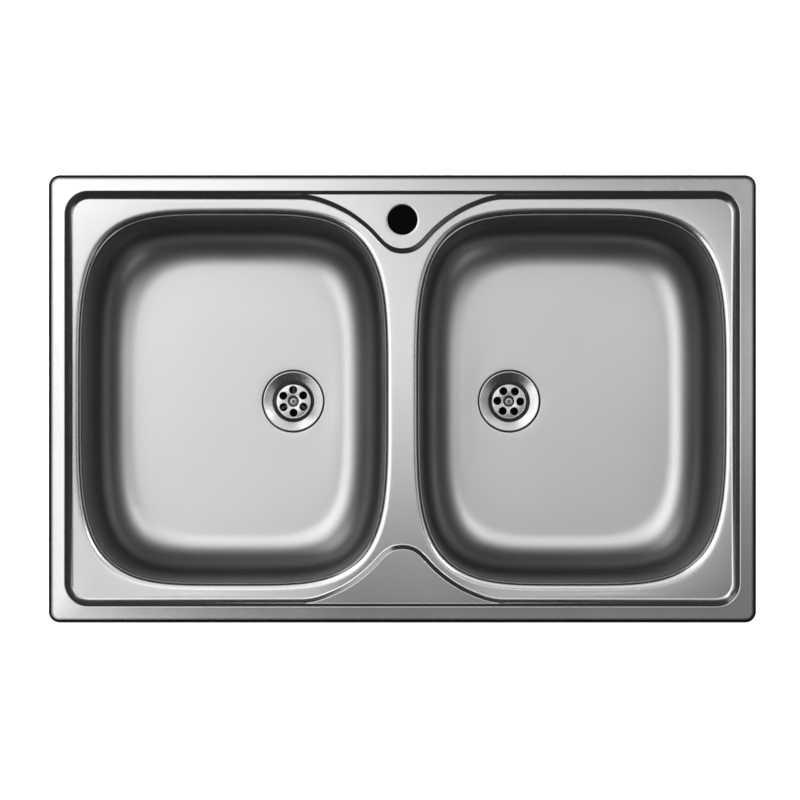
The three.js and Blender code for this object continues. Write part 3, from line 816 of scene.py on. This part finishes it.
def soften(ob, width, segments=2, angle=35):
    m = ob.modifiers.new("edges", "BEVEL")
    m.width = width * MM
    m.segments = segments
    m.limit_method = "ANGLE"
    m.angle_limit = math.radians(angle)
    m.harden_normals = False
    apply_modifiers(ob)
    bm = bmesh.new()
    bm.from_mesh(ob.data)
    for f in bm.faces:
        f.smooth = True
    for e in bm.edges:
        e.smooth = not (len(e.link_faces) == 2 and e.calc_face_angle(0.0) > math.radians(40))
    bm.to_mesh(ob.data)
    bm.free()


def build_lug_mesh():
    s = bent_strip("lug", [(-2.7, -1.1), (-11.2, -1.1), (-11.2, -17.2), (5.9, -17.2)], 8.9, 1.55, bend_r=1.5)
    ob = make("lug_shape", s.v, s.f, angle=40)
    cut_with(ob, lathe("cutter", [(0, -21), (2.8, -21), (2.8, -13), (0, -13)], 32))
    soften(ob, 0.22)
    # Extruded collar that holds the thread
    bm = bmesh.new()
    bm.from_mesh(ob.data)
    ring = lathe("collar", [(2.85, -16.35), (4.3, -16.35), (4.3, -14.9), (4.0, -14.5), (3.1, -14.5), (2.85, -14.8)], 32, closed=True)
    bm.from_mesh(ring.data)
    bpy.data.objects.remove(ring)
    bm.to_mesh(ob.data)
    bm.free()
    return ob


def build_claw_mesh():
    s = bent_strip("claw", [(-9.75, -42.1), (-9.75, -46.25), (21.75, -46.25), (21.75, -40.05)], 6.9, 1.45, bend_r=1.5)
    ob = make("claw_shape", s.v, s.f, angle=40)
    cut_with(ob, lathe("cutter", [(0, -49), (2.95, -49), (2.95, -44), (0, -44)], 32))
    # Teeth
    for cx in (-4.6, 0.0, 4.6):
        c = Soup()
        a = [(cx - 1.9, 19, -39.0), (cx + 1.9, 19, -39.0), (cx, 19, -42.0)]
        b = [(u, 25, w) for u, _, w in a]
        c.v = a + b
        c.f = [(0, 1, 2), (5, 4, 3), (0, 3, 4, 1), (1, 4, 5, 2), (2, 5, 3, 0)]
        cut_with(ob, make("cutter", c.v, c.f, smooth=False))
    soften(ob, 0.2)
    # Stiffening rib pressed along the arm
    bm = bmesh.new()
    bm.from_mesh(ob.data)
    rib = Soup()
    rings = []
    for y, w, h in ((5.2, 0.05, 0.0), (6.2, 1.3, 0.35), (8.5, 1.7, 0.55), (16.5, 1.7, 0.55), (18.8, 1.3, 0.35), (19.8, 0.05, 0.0)):
        rings.append(rib.ring([(w * math.cos(a), y, -45.53 + h * math.sin(a) - (0.3 if k in (0, 8) else 0.0)) for k, a in enumerate(np.linspace(0, PI, 9))]))
    for (a0, n), (b0, _) in zip(rings, rings[1:]):
        for i in range(n):
            j = (i + 1) % n
            rib.f.append((a0 + i, a0 + j, b0 + j, b0 + i))
    rib.cap(rings[0])
    rib.cap(rings[-1])
    t = make("rib", rib.v, rib.f, angle=50)
    bm.from_mesh(t.data)
    bpy.data.objects.remove(t)
    bm.to_mesh(ob.data)
    bm.free()
    return ob


def build_clamp_screw_mesh():
    prof = [(0, -52.0), (3.6, -52.0), (4.1, -51.7), (4.2, -51.2), (4.2, -49.2), (4.35, -48.9), (5.6, -48.75), (5.8, -48.5), (5.8, -47.6), (5.6, -47.32), (2.45, -47.3), (2.45, -44.6)]
    z = -44.6
    while z < -15.2:
        prof += [(2.45, z), (2.08, z + 0.22), (2.08, z + 0.32), (2.45, z + 0.54)]
        z += 0.8
    prof += [(2.3, -14.3), (1.8, -13.6), (0, -13.55)]
    ob = lathe("clamp_screw_shape", prof, 36, angle=35)
    c = Soup()
    c.v = [(-6, -0.55, -53), (6, -0.55, -53), (6, 0.55, -53), (-6, 0.55, -53), (-6, -0.55, -50.6), (6, -0.55, -50.6), (6, 0.55, -50.6), (-6, 0.55, -50.6)]
    c.f = [(3, 2, 1, 0), (4, 5, 6, 7), (0, 1, 5, 4), (1, 2, 6, 5), (2, 3, 7, 6), (3, 0, 4, 7)]
    cut_with(ob, make("cutter", c.v, c.f, smooth=False))
    bm = bmesh.new()
    bm.from_mesh(ob.data)
    for f in bm.faces:
        f.smooth = True
    for e in bm.edges:
        e.smooth = not (len(e.link_faces) == 2 and e.calc_face_angle(0.0) > math.radians(36))
    bm.to_mesh(ob.data)
    bm.free()
    return ob


# --------------------------------------------------------------------- materials
def nodes_of(name):
    m = bpy.data.materials.new(name)
    m.use_nodes = True
    nt = m.node_tree
    return m, nt, nt.nodes["Principled BSDF"]


def tex(nt, scale, detail=2.0, stretch=(1, 1, 1), rough=0.5, kind="noise", distortion=0.0):
    tc = nt.nodes.new("ShaderNodeTexCoord")
    mp = nt.nodes.new("ShaderNodeMapping")
    mp.inputs["Scale"].default_value = stretch
    nt.links.new(tc.outputs["Object"], mp.inputs["Vector"])
    t = nt.nodes.new("ShaderNodeTexNoise" if kind == "noise" else "ShaderNodeTexVoronoi")
    t.inputs["Scale"].default_value = scale
    if kind == "noise":
        t.inputs["Detail"].default_value = detail
        t.inputs["Roughness"].default_value = rough
        t.inputs["Distortion"].default_value = distortion
    nt.links.new(mp.outputs["Vector"], t.inputs["Vector"])
    return t.outputs["Fac"] if kind == "noise" else t.outputs["Distance"]


def remap(nt, src, lo, hi, a=0.3, b=0.7):
    r = nt.nodes.new("ShaderNodeMapRange")
    r.inputs["From Min"].default_value = a
    r.inputs["From Max"].default_value = b
    r.inputs["To Min"].default_value = lo
    r.inputs["To Max"].default_value = hi
    nt.links.new(src, r.inputs["Value"])
    return r.outputs["Result"]


def math_node(nt, op, a, b):
    m = nt.nodes.new("ShaderNodeMath")
    m.operation = op
    for i, v in enumerate((a, b)):
        if isinstance(v, (int, float)):
            m.inputs[i].default_value = v
        else:
            nt.links.new(v, m.inputs[i])
    return m.outputs["Value"]


def bump(nt, bsdf, height, strength, distance):
    b = nt.nodes.new("ShaderNodeBump")
    b.inputs["Strength"].default_value = strength
    b.inputs["Distance"].default_value = distance
    nt.links.new(height, b.inputs["Height"])
    nt.links.new(b.outputs["Normal"], bsdf.inputs["Normal"])
    return b


def mix_colour(nt, fac, c1, c2):
    m = nt.nodes.new("ShaderNodeMix")
    m.data_type = "RGBA"
    if isinstance(fac, float):
        m.inputs["Factor"].default_value = fac
    else:
        nt.links.new(fac, m.inputs["Factor"])
    for key, c in (("A", c1), ("B", c2)):
        sock = [s for s in m.inputs if s.name == key and s.type == "RGBA"][0]
        if isinstance(c, tuple):
            sock.default_value = (*c, 1.0)
        else:
            nt.links.new(c, sock)
    return [o for o in m.outputs if o.type == "RGBA"][0]


def steel(name, base, rough, spread, grain=(1, 1, 1), grain_scale=900.0, grain_bump=0.03, dark=None, edge=None):
    m, nt, b = nodes_of(name)
    b.inputs["Metallic"].default_value = 1.0
    cloud = tex(nt, 5.0, 3.0)
    fine = tex(nt, grain_scale, 3.0, grain, 0.6)
    scratch = tex(nt, 260.0, 4.0, (1.0, 34.0, 34.0) if grain[0] < grain[1] else (1, 1, 1), 0.7)
    r = math_node(nt, "ADD", remap(nt, cloud, rough - spread, rough + spread), remap(nt, fine, -0.03, 0.03))
    nt.links.new(math_node(nt, "ADD", r, remap(nt, scratch, -0.02, 0.02)), b.inputs["Roughness"])
    c = mix_colour(nt, remap(nt, cloud, 0.0, 1.0), tuple(v * 0.97 for v in base), tuple(min(v * 1.03, 1) for v in base))
    if dark is not None:
        c = dark(nt, c)
    nt.links.new(c, b.inputs["Base Color"])
    bump(nt, b, math_node(nt, "ADD", fine, math_node(nt, "MULTIPLY", scratch, 0.6)), grain_bump, 0.0002)
    return m


def tilt_mask(nt, lo, hi):
    """0 where the surface faces up by more than hi, 1 where it is steeper than lo."""
    g = nt.nodes.new("ShaderNodeNewGeometry")
    sp = nt.nodes.new("ShaderNodeSeparateXYZ")
    nt.links.new(g.outputs["Normal"], sp.inputs["Vector"])
    a = math_node(nt, "ABSOLUTE", sp.outputs["Z"], 0.0)
    r = nt.nodes.new("ShaderNodeMapRange")
    r.interpolation_type = "SMOOTHSTEP"
    r.inputs["From Min"].default_value = hi
    r.inputs["From Max"].default_value = lo
    nt.links.new(a, r.inputs["Value"])
    return r.outputs["Result"]


def rim_painted_shade(nt, c):
    """The rolled edge and skirt are painted near black and made dull: painted shade standing in for the dark line along
    the rolled edge.
    """
    tc = nt.nodes.new("ShaderNodeTexCoord")
    sp = nt.nodes.new("ShaderNodeSeparateXYZ")
    nt.links.new(tc.outputs["Object"], sp.inputs["Vector"])
    ax = math_node(nt, "ABSOLUTE", sp.outputs["X"], 0.0)
    ay = math_node(nt, "ABSOLUTE", sp.outputs["Y"], 0.0)
    # Distance in from the rounded outline, in metres
    qx = math_node(nt, "SUBTRACT", ax, (LENGTH / 2 - CORNER_OUT) * MM)
    qy = math_node(nt, "SUBTRACT", ay, (WIDTH / 2 - CORNER_OUT) * MM)
    px, py = math_node(nt, "MAXIMUM", qx, 0.0), math_node(nt, "MAXIMUM", qy, 0.0)
    out = math_node(nt, "SQRT", math_node(nt, "ADD", math_node(nt, "MULTIPLY", px, px), math_node(nt, "MULTIPLY", py, py)), 0.0)
    inside = math_node(nt, "MINIMUM", math_node(nt, "MAXIMUM", qx, qy), 0.0)
    d = math_node(nt, "SUBTRACT", CORNER_OUT * MM, math_node(nt, "ADD", out, inside))
    r = nt.nodes.new("ShaderNodeMapRange")
    r.interpolation_type = "SMOOTHSTEP"
    r.inputs["From Min"].default_value = 0.0066
    r.inputs["From Max"].default_value = 0.0025
    nt.links.new(d, r.inputs["Value"])
    edge = r.outputs["Result"]
    b = nt.nodes["Principled BSDF"]
    q = nt.nodes.new("ShaderNodeMapRange")
    q.interpolation_type = "SMOOTHSTEP"
    q.inputs["From Min"].default_value = 0.0024
    q.inputs["From Max"].default_value = 0.0012
    nt.links.new(d, q.inputs["Value"])
    dull = q.outputs["Result"]
    nt.links.new(math_node(nt, "SUBTRACT", 1.0, dull), b.inputs["Metallic"])
    nt.links.new(math_node(nt, "SUBTRACT", 0.5, math_node(nt, "MULTIPLY", dull, 0.48)), b.inputs["Specular IOR Level"])
    # Painted shade: the rolled edge's colour goes near black
    return mix_colour(nt, edge, c, (0.012, 0.012, 0.012))


def wall_painted_shade(nt, c):
    """Steep walls are painted darker than the floor, darkest in their upper part near the lip: painted shade for the
    dark steep walls.
    """
    steep_shade_mask = tilt_mask(nt, 0.35, 0.8)
    tc = nt.nodes.new("ShaderNodeTexCoord")
    sp = nt.nodes.new("ShaderNodeSeparateXYZ")
    nt.links.new(tc.outputs["Object"], sp.inputs["Vector"])
    r = nt.nodes.new("ShaderNodeMapRange")
    r.interpolation_type = "SMOOTHSTEP"
    r.inputs["From Min"].default_value = -0.1
    r.inputs["From Max"].default_value = -0.04
    nt.links.new(sp.outputs["Z"], r.inputs["Value"])
    # Darker band along the top edge, under the lip
    top_band = nt.nodes.new("ShaderNodeMapRange")
    top_band.inputs["From Min"].default_value = (LIP_Z - 3.3) * MM
    top_band.inputs["From Max"].default_value = (LIP_Z - 2.0) * MM
    nt.links.new(sp.outputs["Z"], top_band.inputs["Value"])
    c = mix_colour(nt, top_band.outputs["Result"], c, (0.28, 0.28, 0.28))
    # Painted shade: steep faces go to 0.22, and to 0.115 in the walls' upper part
    low = mix_colour(nt, steep_shade_mask, c, (0.22, 0.22, 0.22))
    return mix_colour(nt, math_node(nt, "MULTIPLY", steep_shade_mask, r.outputs["Result"]), low, (0.115, 0.115, 0.115))


def pressed_painted_shade(nt, c):
    """Steep faces of the pressing are painted dark: painted shade on the steep faces."""
    steep_shade_mask = tilt_mask(nt, 0.72, 0.93)
    return mix_colour(nt, steep_shade_mask, c, (0.27, 0.27, 0.27))


def recess_painted_shade(nt, c):
    """The cross recess and the head's sides are painted near black below the top: painted shade in the recess."""
    tc = nt.nodes.new("ShaderNodeTexCoord")
    sp = nt.nodes.new("ShaderNodeSeparateXYZ")
    nt.links.new(tc.outputs["Object"], sp.inputs["Vector"])
    r = nt.nodes.new("ShaderNodeMapRange")
    r.inputs["From Min"].default_value = -(DEPTH + 9.72) * MM
    r.inputs["From Max"].default_value = -(DEPTH + 10.0) * MM
    nt.links.new(sp.outputs["Z"], r.inputs["Value"])
    return mix_colour(nt, r.outputs["Result"], pressed_painted_shade(nt, c), (0.04, 0.04, 0.04))


def plain(name, base, rough, spread, scale, bump_strength, bump_distance, metallic=0.0, colour_spread=0.08, detail=4.0):
    m, nt, b = nodes_of(name)
    b.inputs["Metallic"].default_value = metallic
    t = tex(nt, scale, detail, (1, 1, 1), 0.6)
    cl = tex(nt, 24.0, 3.0)
    nt.links.new(remap(nt, t, rough - spread, rough + spread), b.inputs["Roughness"])
    lo = tuple(v * (1 - colour_spread) for v in base)
    hi = tuple(min(v * (1 + colour_spread), 1) for v in base)
    nt.links.new(mix_colour(nt, remap(nt, math_node(nt, "ADD", math_node(nt, "MULTIPLY", t, 0.5), math_node(nt, "MULTIPLY", cl, 0.5)), 0, 1), lo, hi), b.inputs["Base Color"])
    bump(nt, b, t, bump_strength, bump_distance)
    return m


def paint(ob, mat):
    ob.data.materials.clear()
    ob.data.materials.append(mat)


def paint_node(name, mat):
    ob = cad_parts[name]
    for s in ob.material_slots:
        s.material = mat
    if not ob.material_slots:
        ob.data.materials.append(mat)


DECK_STEEL = steel("deck_steel", (0.66, 0.66, 0.66), 0.20, 0.015, (1, 14, 14), 700.0, 0.02, dark=rim_painted_shade)
BOWL_STEEL = steel("bowl_steel", (0.74, 0.74, 0.74), 0.38, 0.025, (1, 1, 1), 900.0, 0.02, dark=wall_painted_shade)
STRAINER_STEEL = steel("strainer_steel", (0.68, 0.68, 0.68), 0.24, 0.02, (1, 1, 1), 1200.0, 0.015, dark=pressed_painted_shade)
SCREW_STEEL = steel("screw_steel", (0.58, 0.58, 0.58), 0.3, 0.03, (1, 1, 1), 1500.0, 0.02, dark=recess_painted_shade)
ZINC = plain("clamp_zinc", (0.56, 0.575, 0.59), 0.42, 0.08, 260.0, 0.10, 0.0002, metallic=1.0)
BRASS = plain("nut_brass", (0.62, 0.46, 0.20), 0.35, 0.06, 400.0, 0.08, 0.0002, metallic=1.0)
RUBBER = plain("seal_rubber", (0.02, 0.02, 0.021), 0.65, 0.08, 600.0, 0.2, 0.0003)
FOAM = plain("rim_foam", (0.045, 0.045, 0.048), 0.9, 0.06, 1400.0, 0.7, 0.0006)
BITUMEN = plain("bitumen", (0.06, 0.06, 0.058), 0.82, 0.08, 500.0, 0.5, 0.0005)
PLASTIC = plain("waste_plastic", (0.016, 0.016, 0.017), 0.48, 0.06, 320.0, 0.10, 0.0002, colour_spread=0.1)


# ---------------------------------------------------------------------- assembly
def place(ob, body, slot, *nodes):
    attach(ob, body)
    if nodes:
        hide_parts(*nodes)


deck = build_deck()
paint(deck, DECK_STEEL)
place(deck, "sink", "deck_steel", "deck_panel")

for side, word in ((-1, "left"), (1, "right")):
    ob = build_bowl(side)
    paint(ob, BOWL_STEEL)
    place(ob, "sink", "bowl_steel", word + "_bowl")
    ob = build_strainer(side)
    paint(ob, STRAINER_STEEL)
    place(ob, "sink", "strainer_steel", word + "_strainer")
    ob = build_waste_screw(side)
    paint(ob, SCREW_STEEL)
    place(ob, "sink", "screw_steel", word + "_waste_screw")
    ob = build_waste_body(side)
    paint(ob, PLASTIC)
    place(ob, "sink", "waste_plastic", word + "_waste_body")
    ob = build_sound_pad(side)
    paint(ob, BITUMEN)
    place(ob, "sink", "bitumen", word + "_sound_pad")
    for node in ("flange_seal", "body_seal"):
        paint_node(f"{word}_{node}", RUBBER)
    paint_node(word + "_insert_nut", BRASS)

ob = build_rim_seal()
paint(ob, FOAM)
place(ob, "sink", "rim_foam", "rim_seal")

u = [(30, 226), (-30, 226)] + [(30 * math.cos(a), TAP_Y + 30 * math.sin(a)) for a in np.linspace(PI, 2 * PI, 41)]
fine_u = []
for (xa, ya), (xb, yb) in zip(u, u[1:] + u[:1]):
    k = max(1, int(math.hypot(xb - xa, yb - ya) / 3))
    fine_u += [(xa + (xb - xa) * i / k, ya + (yb - ya) * i / k) for i in range(k)]
z1 = ISLAND_TOP - SHEET - 0.3
ob = rounded_plate("tap_stiffener", fine_u, z1 - 1.7, z1, 0.25, hole=(0, TAP_Y, TAP_R + 0.4))
paint(ob, ZINC)
place(ob, "sink", "clamp_zinc", "tap_plate")

shapes = {"lug": build_lug_mesh(), "claw": build_claw_mesh(), "screw": build_clamp_screw_mesh()}
for row, sign in (("rear", 1), ("front", -1)):
    for i, x in enumerate(CLAMP_XS):
        tag = f"{row}_clamp_{i + 1}"
        for kind, shape in shapes.items():
            me = shape.data.copy()
            co = np.empty(len(me.vertices) * 3)
            me.vertices.foreach_get("co", co)
            co = co.reshape(-1, 3)
            if sign < 0:
                co[:, 0] *= -1
                co[:, 1] *= -1
            co[:, 0] += x * MM
            co[:, 1] += sign * CLAMP_Y * MM
            me.vertices.foreach_set("co", co.ravel())
            me.update()
            name = f"{tag}_{kind}_fine"
            me.name = name
            ob = bpy.data.objects.new(name, me)
            bpy.context.scene.collection.objects.link(ob)
            paint(ob, ZINC)
            place(ob, "sink" if kind == "lug" else f"{tag}_{kind}", "clamp_zinc", f"{tag}_{kind}")
for shape in shapes.values():
    bpy.data.objects.remove(shape)


# ------------------------------------------------------------------------- stage
def stage_plane(name, size, z, mat, x=0.0, y=0.0):
    me = bpy.data.meshes.new(name)
    h = size / 2
    me.from_pydata([(x - h, y - h, z), (x + h, y - h, z), (x + h, y + h, z), (x - h, y + h, z)], [], [(0, 1, 2, 3)])
    ob = bpy.data.objects.new(name, me)
    bpy.context.scene.collection.objects.link(ob)
    me.materials.append(mat)
    return ob


floor_mat, nt, b = nodes_of("floor_pale")
b.inputs["Base Color"].default_value = (0.86, 0.86, 0.86, 1)
b.inputs["Roughness"].default_value = 0.9
b.inputs["Specular IOR Level"].default_value = 0.1
stage_plane("floor", 24.0, -0.2285, floor_mat)

# Painted shade: a near-black card under the tap hole, so that the hole looks black
shade_card_mat, nt, b = nodes_of("painted_shade_card")
b.inputs["Base Color"].default_value = (0.0015, 0.0015, 0.0015, 1)
b.inputs["Roughness"].default_value = 1.0
b.inputs["Specular IOR Level"].default_value = 0.0
stage_plane("card", 0.046, 0.0004, shade_card_mat, 0.0, TAP_Y * MM)
# Painted shade: near-black discs on the floor under the wastes, so that the floor seen through the strainer holes stays
# dark
for side in (-1, 1):
    me = bpy.data.meshes.new("painted_shade_disc")
    turn = np.radians(np.arange(0, 360, 7.5))
    me.from_pydata([(side * WASTE_X * MM + 0.0225 * math.cos(t), 0.0225 * math.sin(t), -0.2283) for t in turn], [], [tuple(range(len(turn)))])
    ob = bpy.data.objects.new("painted_shade_disc", me)
    bpy.context.scene.collection.objects.link(ob)
    me.materials.append(shade_card_mat)

world = bpy.data.worlds.new("studio")
bpy.context.scene.world = world
world.use_nodes = True
world.node_tree.nodes["Background"].inputs["Color"].default_value = (1, 1, 1, 1)
# Bright towards the horizon, dark above it: what stands round a studio table
wt = world.node_tree
coord = wt.nodes.new("ShaderNodeTexCoord")
part = wt.nodes.new("ShaderNodeSeparateXYZ")
glow = wt.nodes.new("ShaderNodeMapRange")
glow.interpolation_type = "SMOOTHSTEP"
glow.inputs["From Min"].default_value = 0.10
glow.inputs["From Max"].default_value = 0.20
glow.inputs["To Min"].default_value = 1.0
glow.inputs["To Max"].default_value = 0.025
wt.links.new(coord.outputs["Generated"], part.inputs["Vector"])
wt.links.new(part.outputs["Z"], glow.inputs["Value"])
wt.links.new(glow.outputs["Result"], wt.nodes["Background"].inputs["Strength"])


def softbox(name, loc, size, radiance, aim=(0, 0, 0)):
    """Rectangular light whose surface has a given brightness."""
    li = bpy.data.lights.new(name, "AREA")
    li.shape = "RECTANGLE"
    li.size, li.size_y = size
    li.energy = radiance * PI * size[0] * size[1]
    ob = bpy.data.objects.new(name, li)
    ob.location = loc
    ob.rotation_euler = (Vector(aim) - Vector(loc)).to_track_quat("-Z", "Y").to_euler()
    bpy.context.scene.collection.objects.link(ob)
    return ob


# Soft boxes overhead, brightest to the left and rear
OVERHEAD = 4.6
BOXES = [
    # name, from x, to x, from y, to y, radiance
    ("centre", -0.35, 0.40, 0.05, 0.45, 1.42),
    ("left_low", -1.05, -0.35, -0.32, 0.10, 1.35),
    ("front_low", -0.35, 0.40, -0.22, 0.05, 0.68),
    ("front", -0.75, 1.40, -1.35, -0.50, 0.18),
    ("left_high", -1.05, -0.35, 0.10, 0.45, 0.74),
    ("left_front", -1.40, -0.75, -0.65, -0.40, 1.50),
    ("right_low", 0.40, 1.15, -0.22, 0.10, 0.84),
    ("right_high", 0.40, 1.08, 0.10, 0.45, 1.30),
    ("rear_middle", -0.70, -0.05, 0.45, 0.80, 1.85),
    ("rear_gap", -1.05, -0.70, 0.45, 0.80, 1.20),
    ("rear_right", -0.05, 0.80, 0.45, 0.80, 0.15),
    ("rear_high", -0.35, 0.80, 0.80, 1.45, 0.95),
    ("rear_left", -1.05, -0.35, 0.80, 1.45, 1.48),
    ("bank_front", -1.75, -1.05, -0.40, 0.30, 1.80),
    ("bank_rear", -1.75, -1.05, 0.30, 1.45, 2.60),
    ("corner_left_front", -1.75, -1.05, -1.35, -0.65, 3.70),
    ("corner_right_front", 1.40, 2.10, -1.35, -0.65, 0.50),
    ("corner_right_rear", 1.40, 2.10, 0.75, 1.45, 6.40),
    ("far_left", -2.45, -1.75, -1.35, 1.45, 1.65),
    ("farther_left", -3.60, -2.45, -1.35, 1.45, 1.10),
    ("far_front_left", -3.00, -2.00, -2.60, -1.35, 1.00),
    ("far_rear_left", -2.45, -0.80, 1.45, 3.40, 1.85),
    ("far_rear_right", -0.80, 2.45, 1.45, 3.40, 1.00),
    ("far_right", 2.10, 3.30, -1.35, 1.45, 0.70),
]
for name, x0, x1, y0, y1, rad in BOXES:
    x, y = (x0 + x1) / 2, (y0 + y1) / 2
    softbox(name, (x, y, OVERHEAD), (x1 - x0, y1 - y0), rad, (x, y, 0))


def standing(name, azimuth, polar, size, radiance, reach=4.2):
    """Soft box beside the table, turned to the object."""
    a, p = math.radians(azimuth), math.radians(polar)
    loc = (reach * math.sin(p) * math.cos(a), reach * math.sin(p) * math.sin(a), reach * math.cos(p))
    softbox(name, loc, size, radiance)


standing("diagonal_rear_left", 135, 64, (2.6, 1.6), 0.7)
standing("diagonal_front_right", -45, 72, (2.6, 1.6), 0.55)

sun = bpy.data.lights.new("floor_light", "SUN")
sun.energy = 5.0
sun.angle = math.radians(4)
ob = bpy.data.objects.new("floor_light", sun)
ob.location = (0, 0, 5)
ob.visible_glossy = False
bpy.context.scene.collection.objects.link(ob)

# ------------------------------------------------------------------------ camera
cam = bpy.data.cameras.new("camera")
cam.sensor_width = 36.0
HEIGHT = 3.4
FIELD = 0.8924                 # width seen at the rim's level
LOOK = (-0.0027, -0.0013)      # what lies at the picture's centre
STAND = (-0.0307, -0.061)      # where the camera hangs
cam.lens = 36.0 * HEIGHT / FIELD
cam.shift_x = (LOOK[0] - STAND[0]) / FIELD
cam.shift_y = (LOOK[1] - STAND[1]) / FIELD
cam.clip_end = 50
co = bpy.data.objects.new("camera", cam)
co.location = (*STAND, HEIGHT + 0.006)
bpy.context.scene.collection.objects.link(co)
bpy.context.scene.camera = co

bpy.context.scene.view_settings.view_transform = "Standard"
bpy.context.scene.view_settings.look = "None"
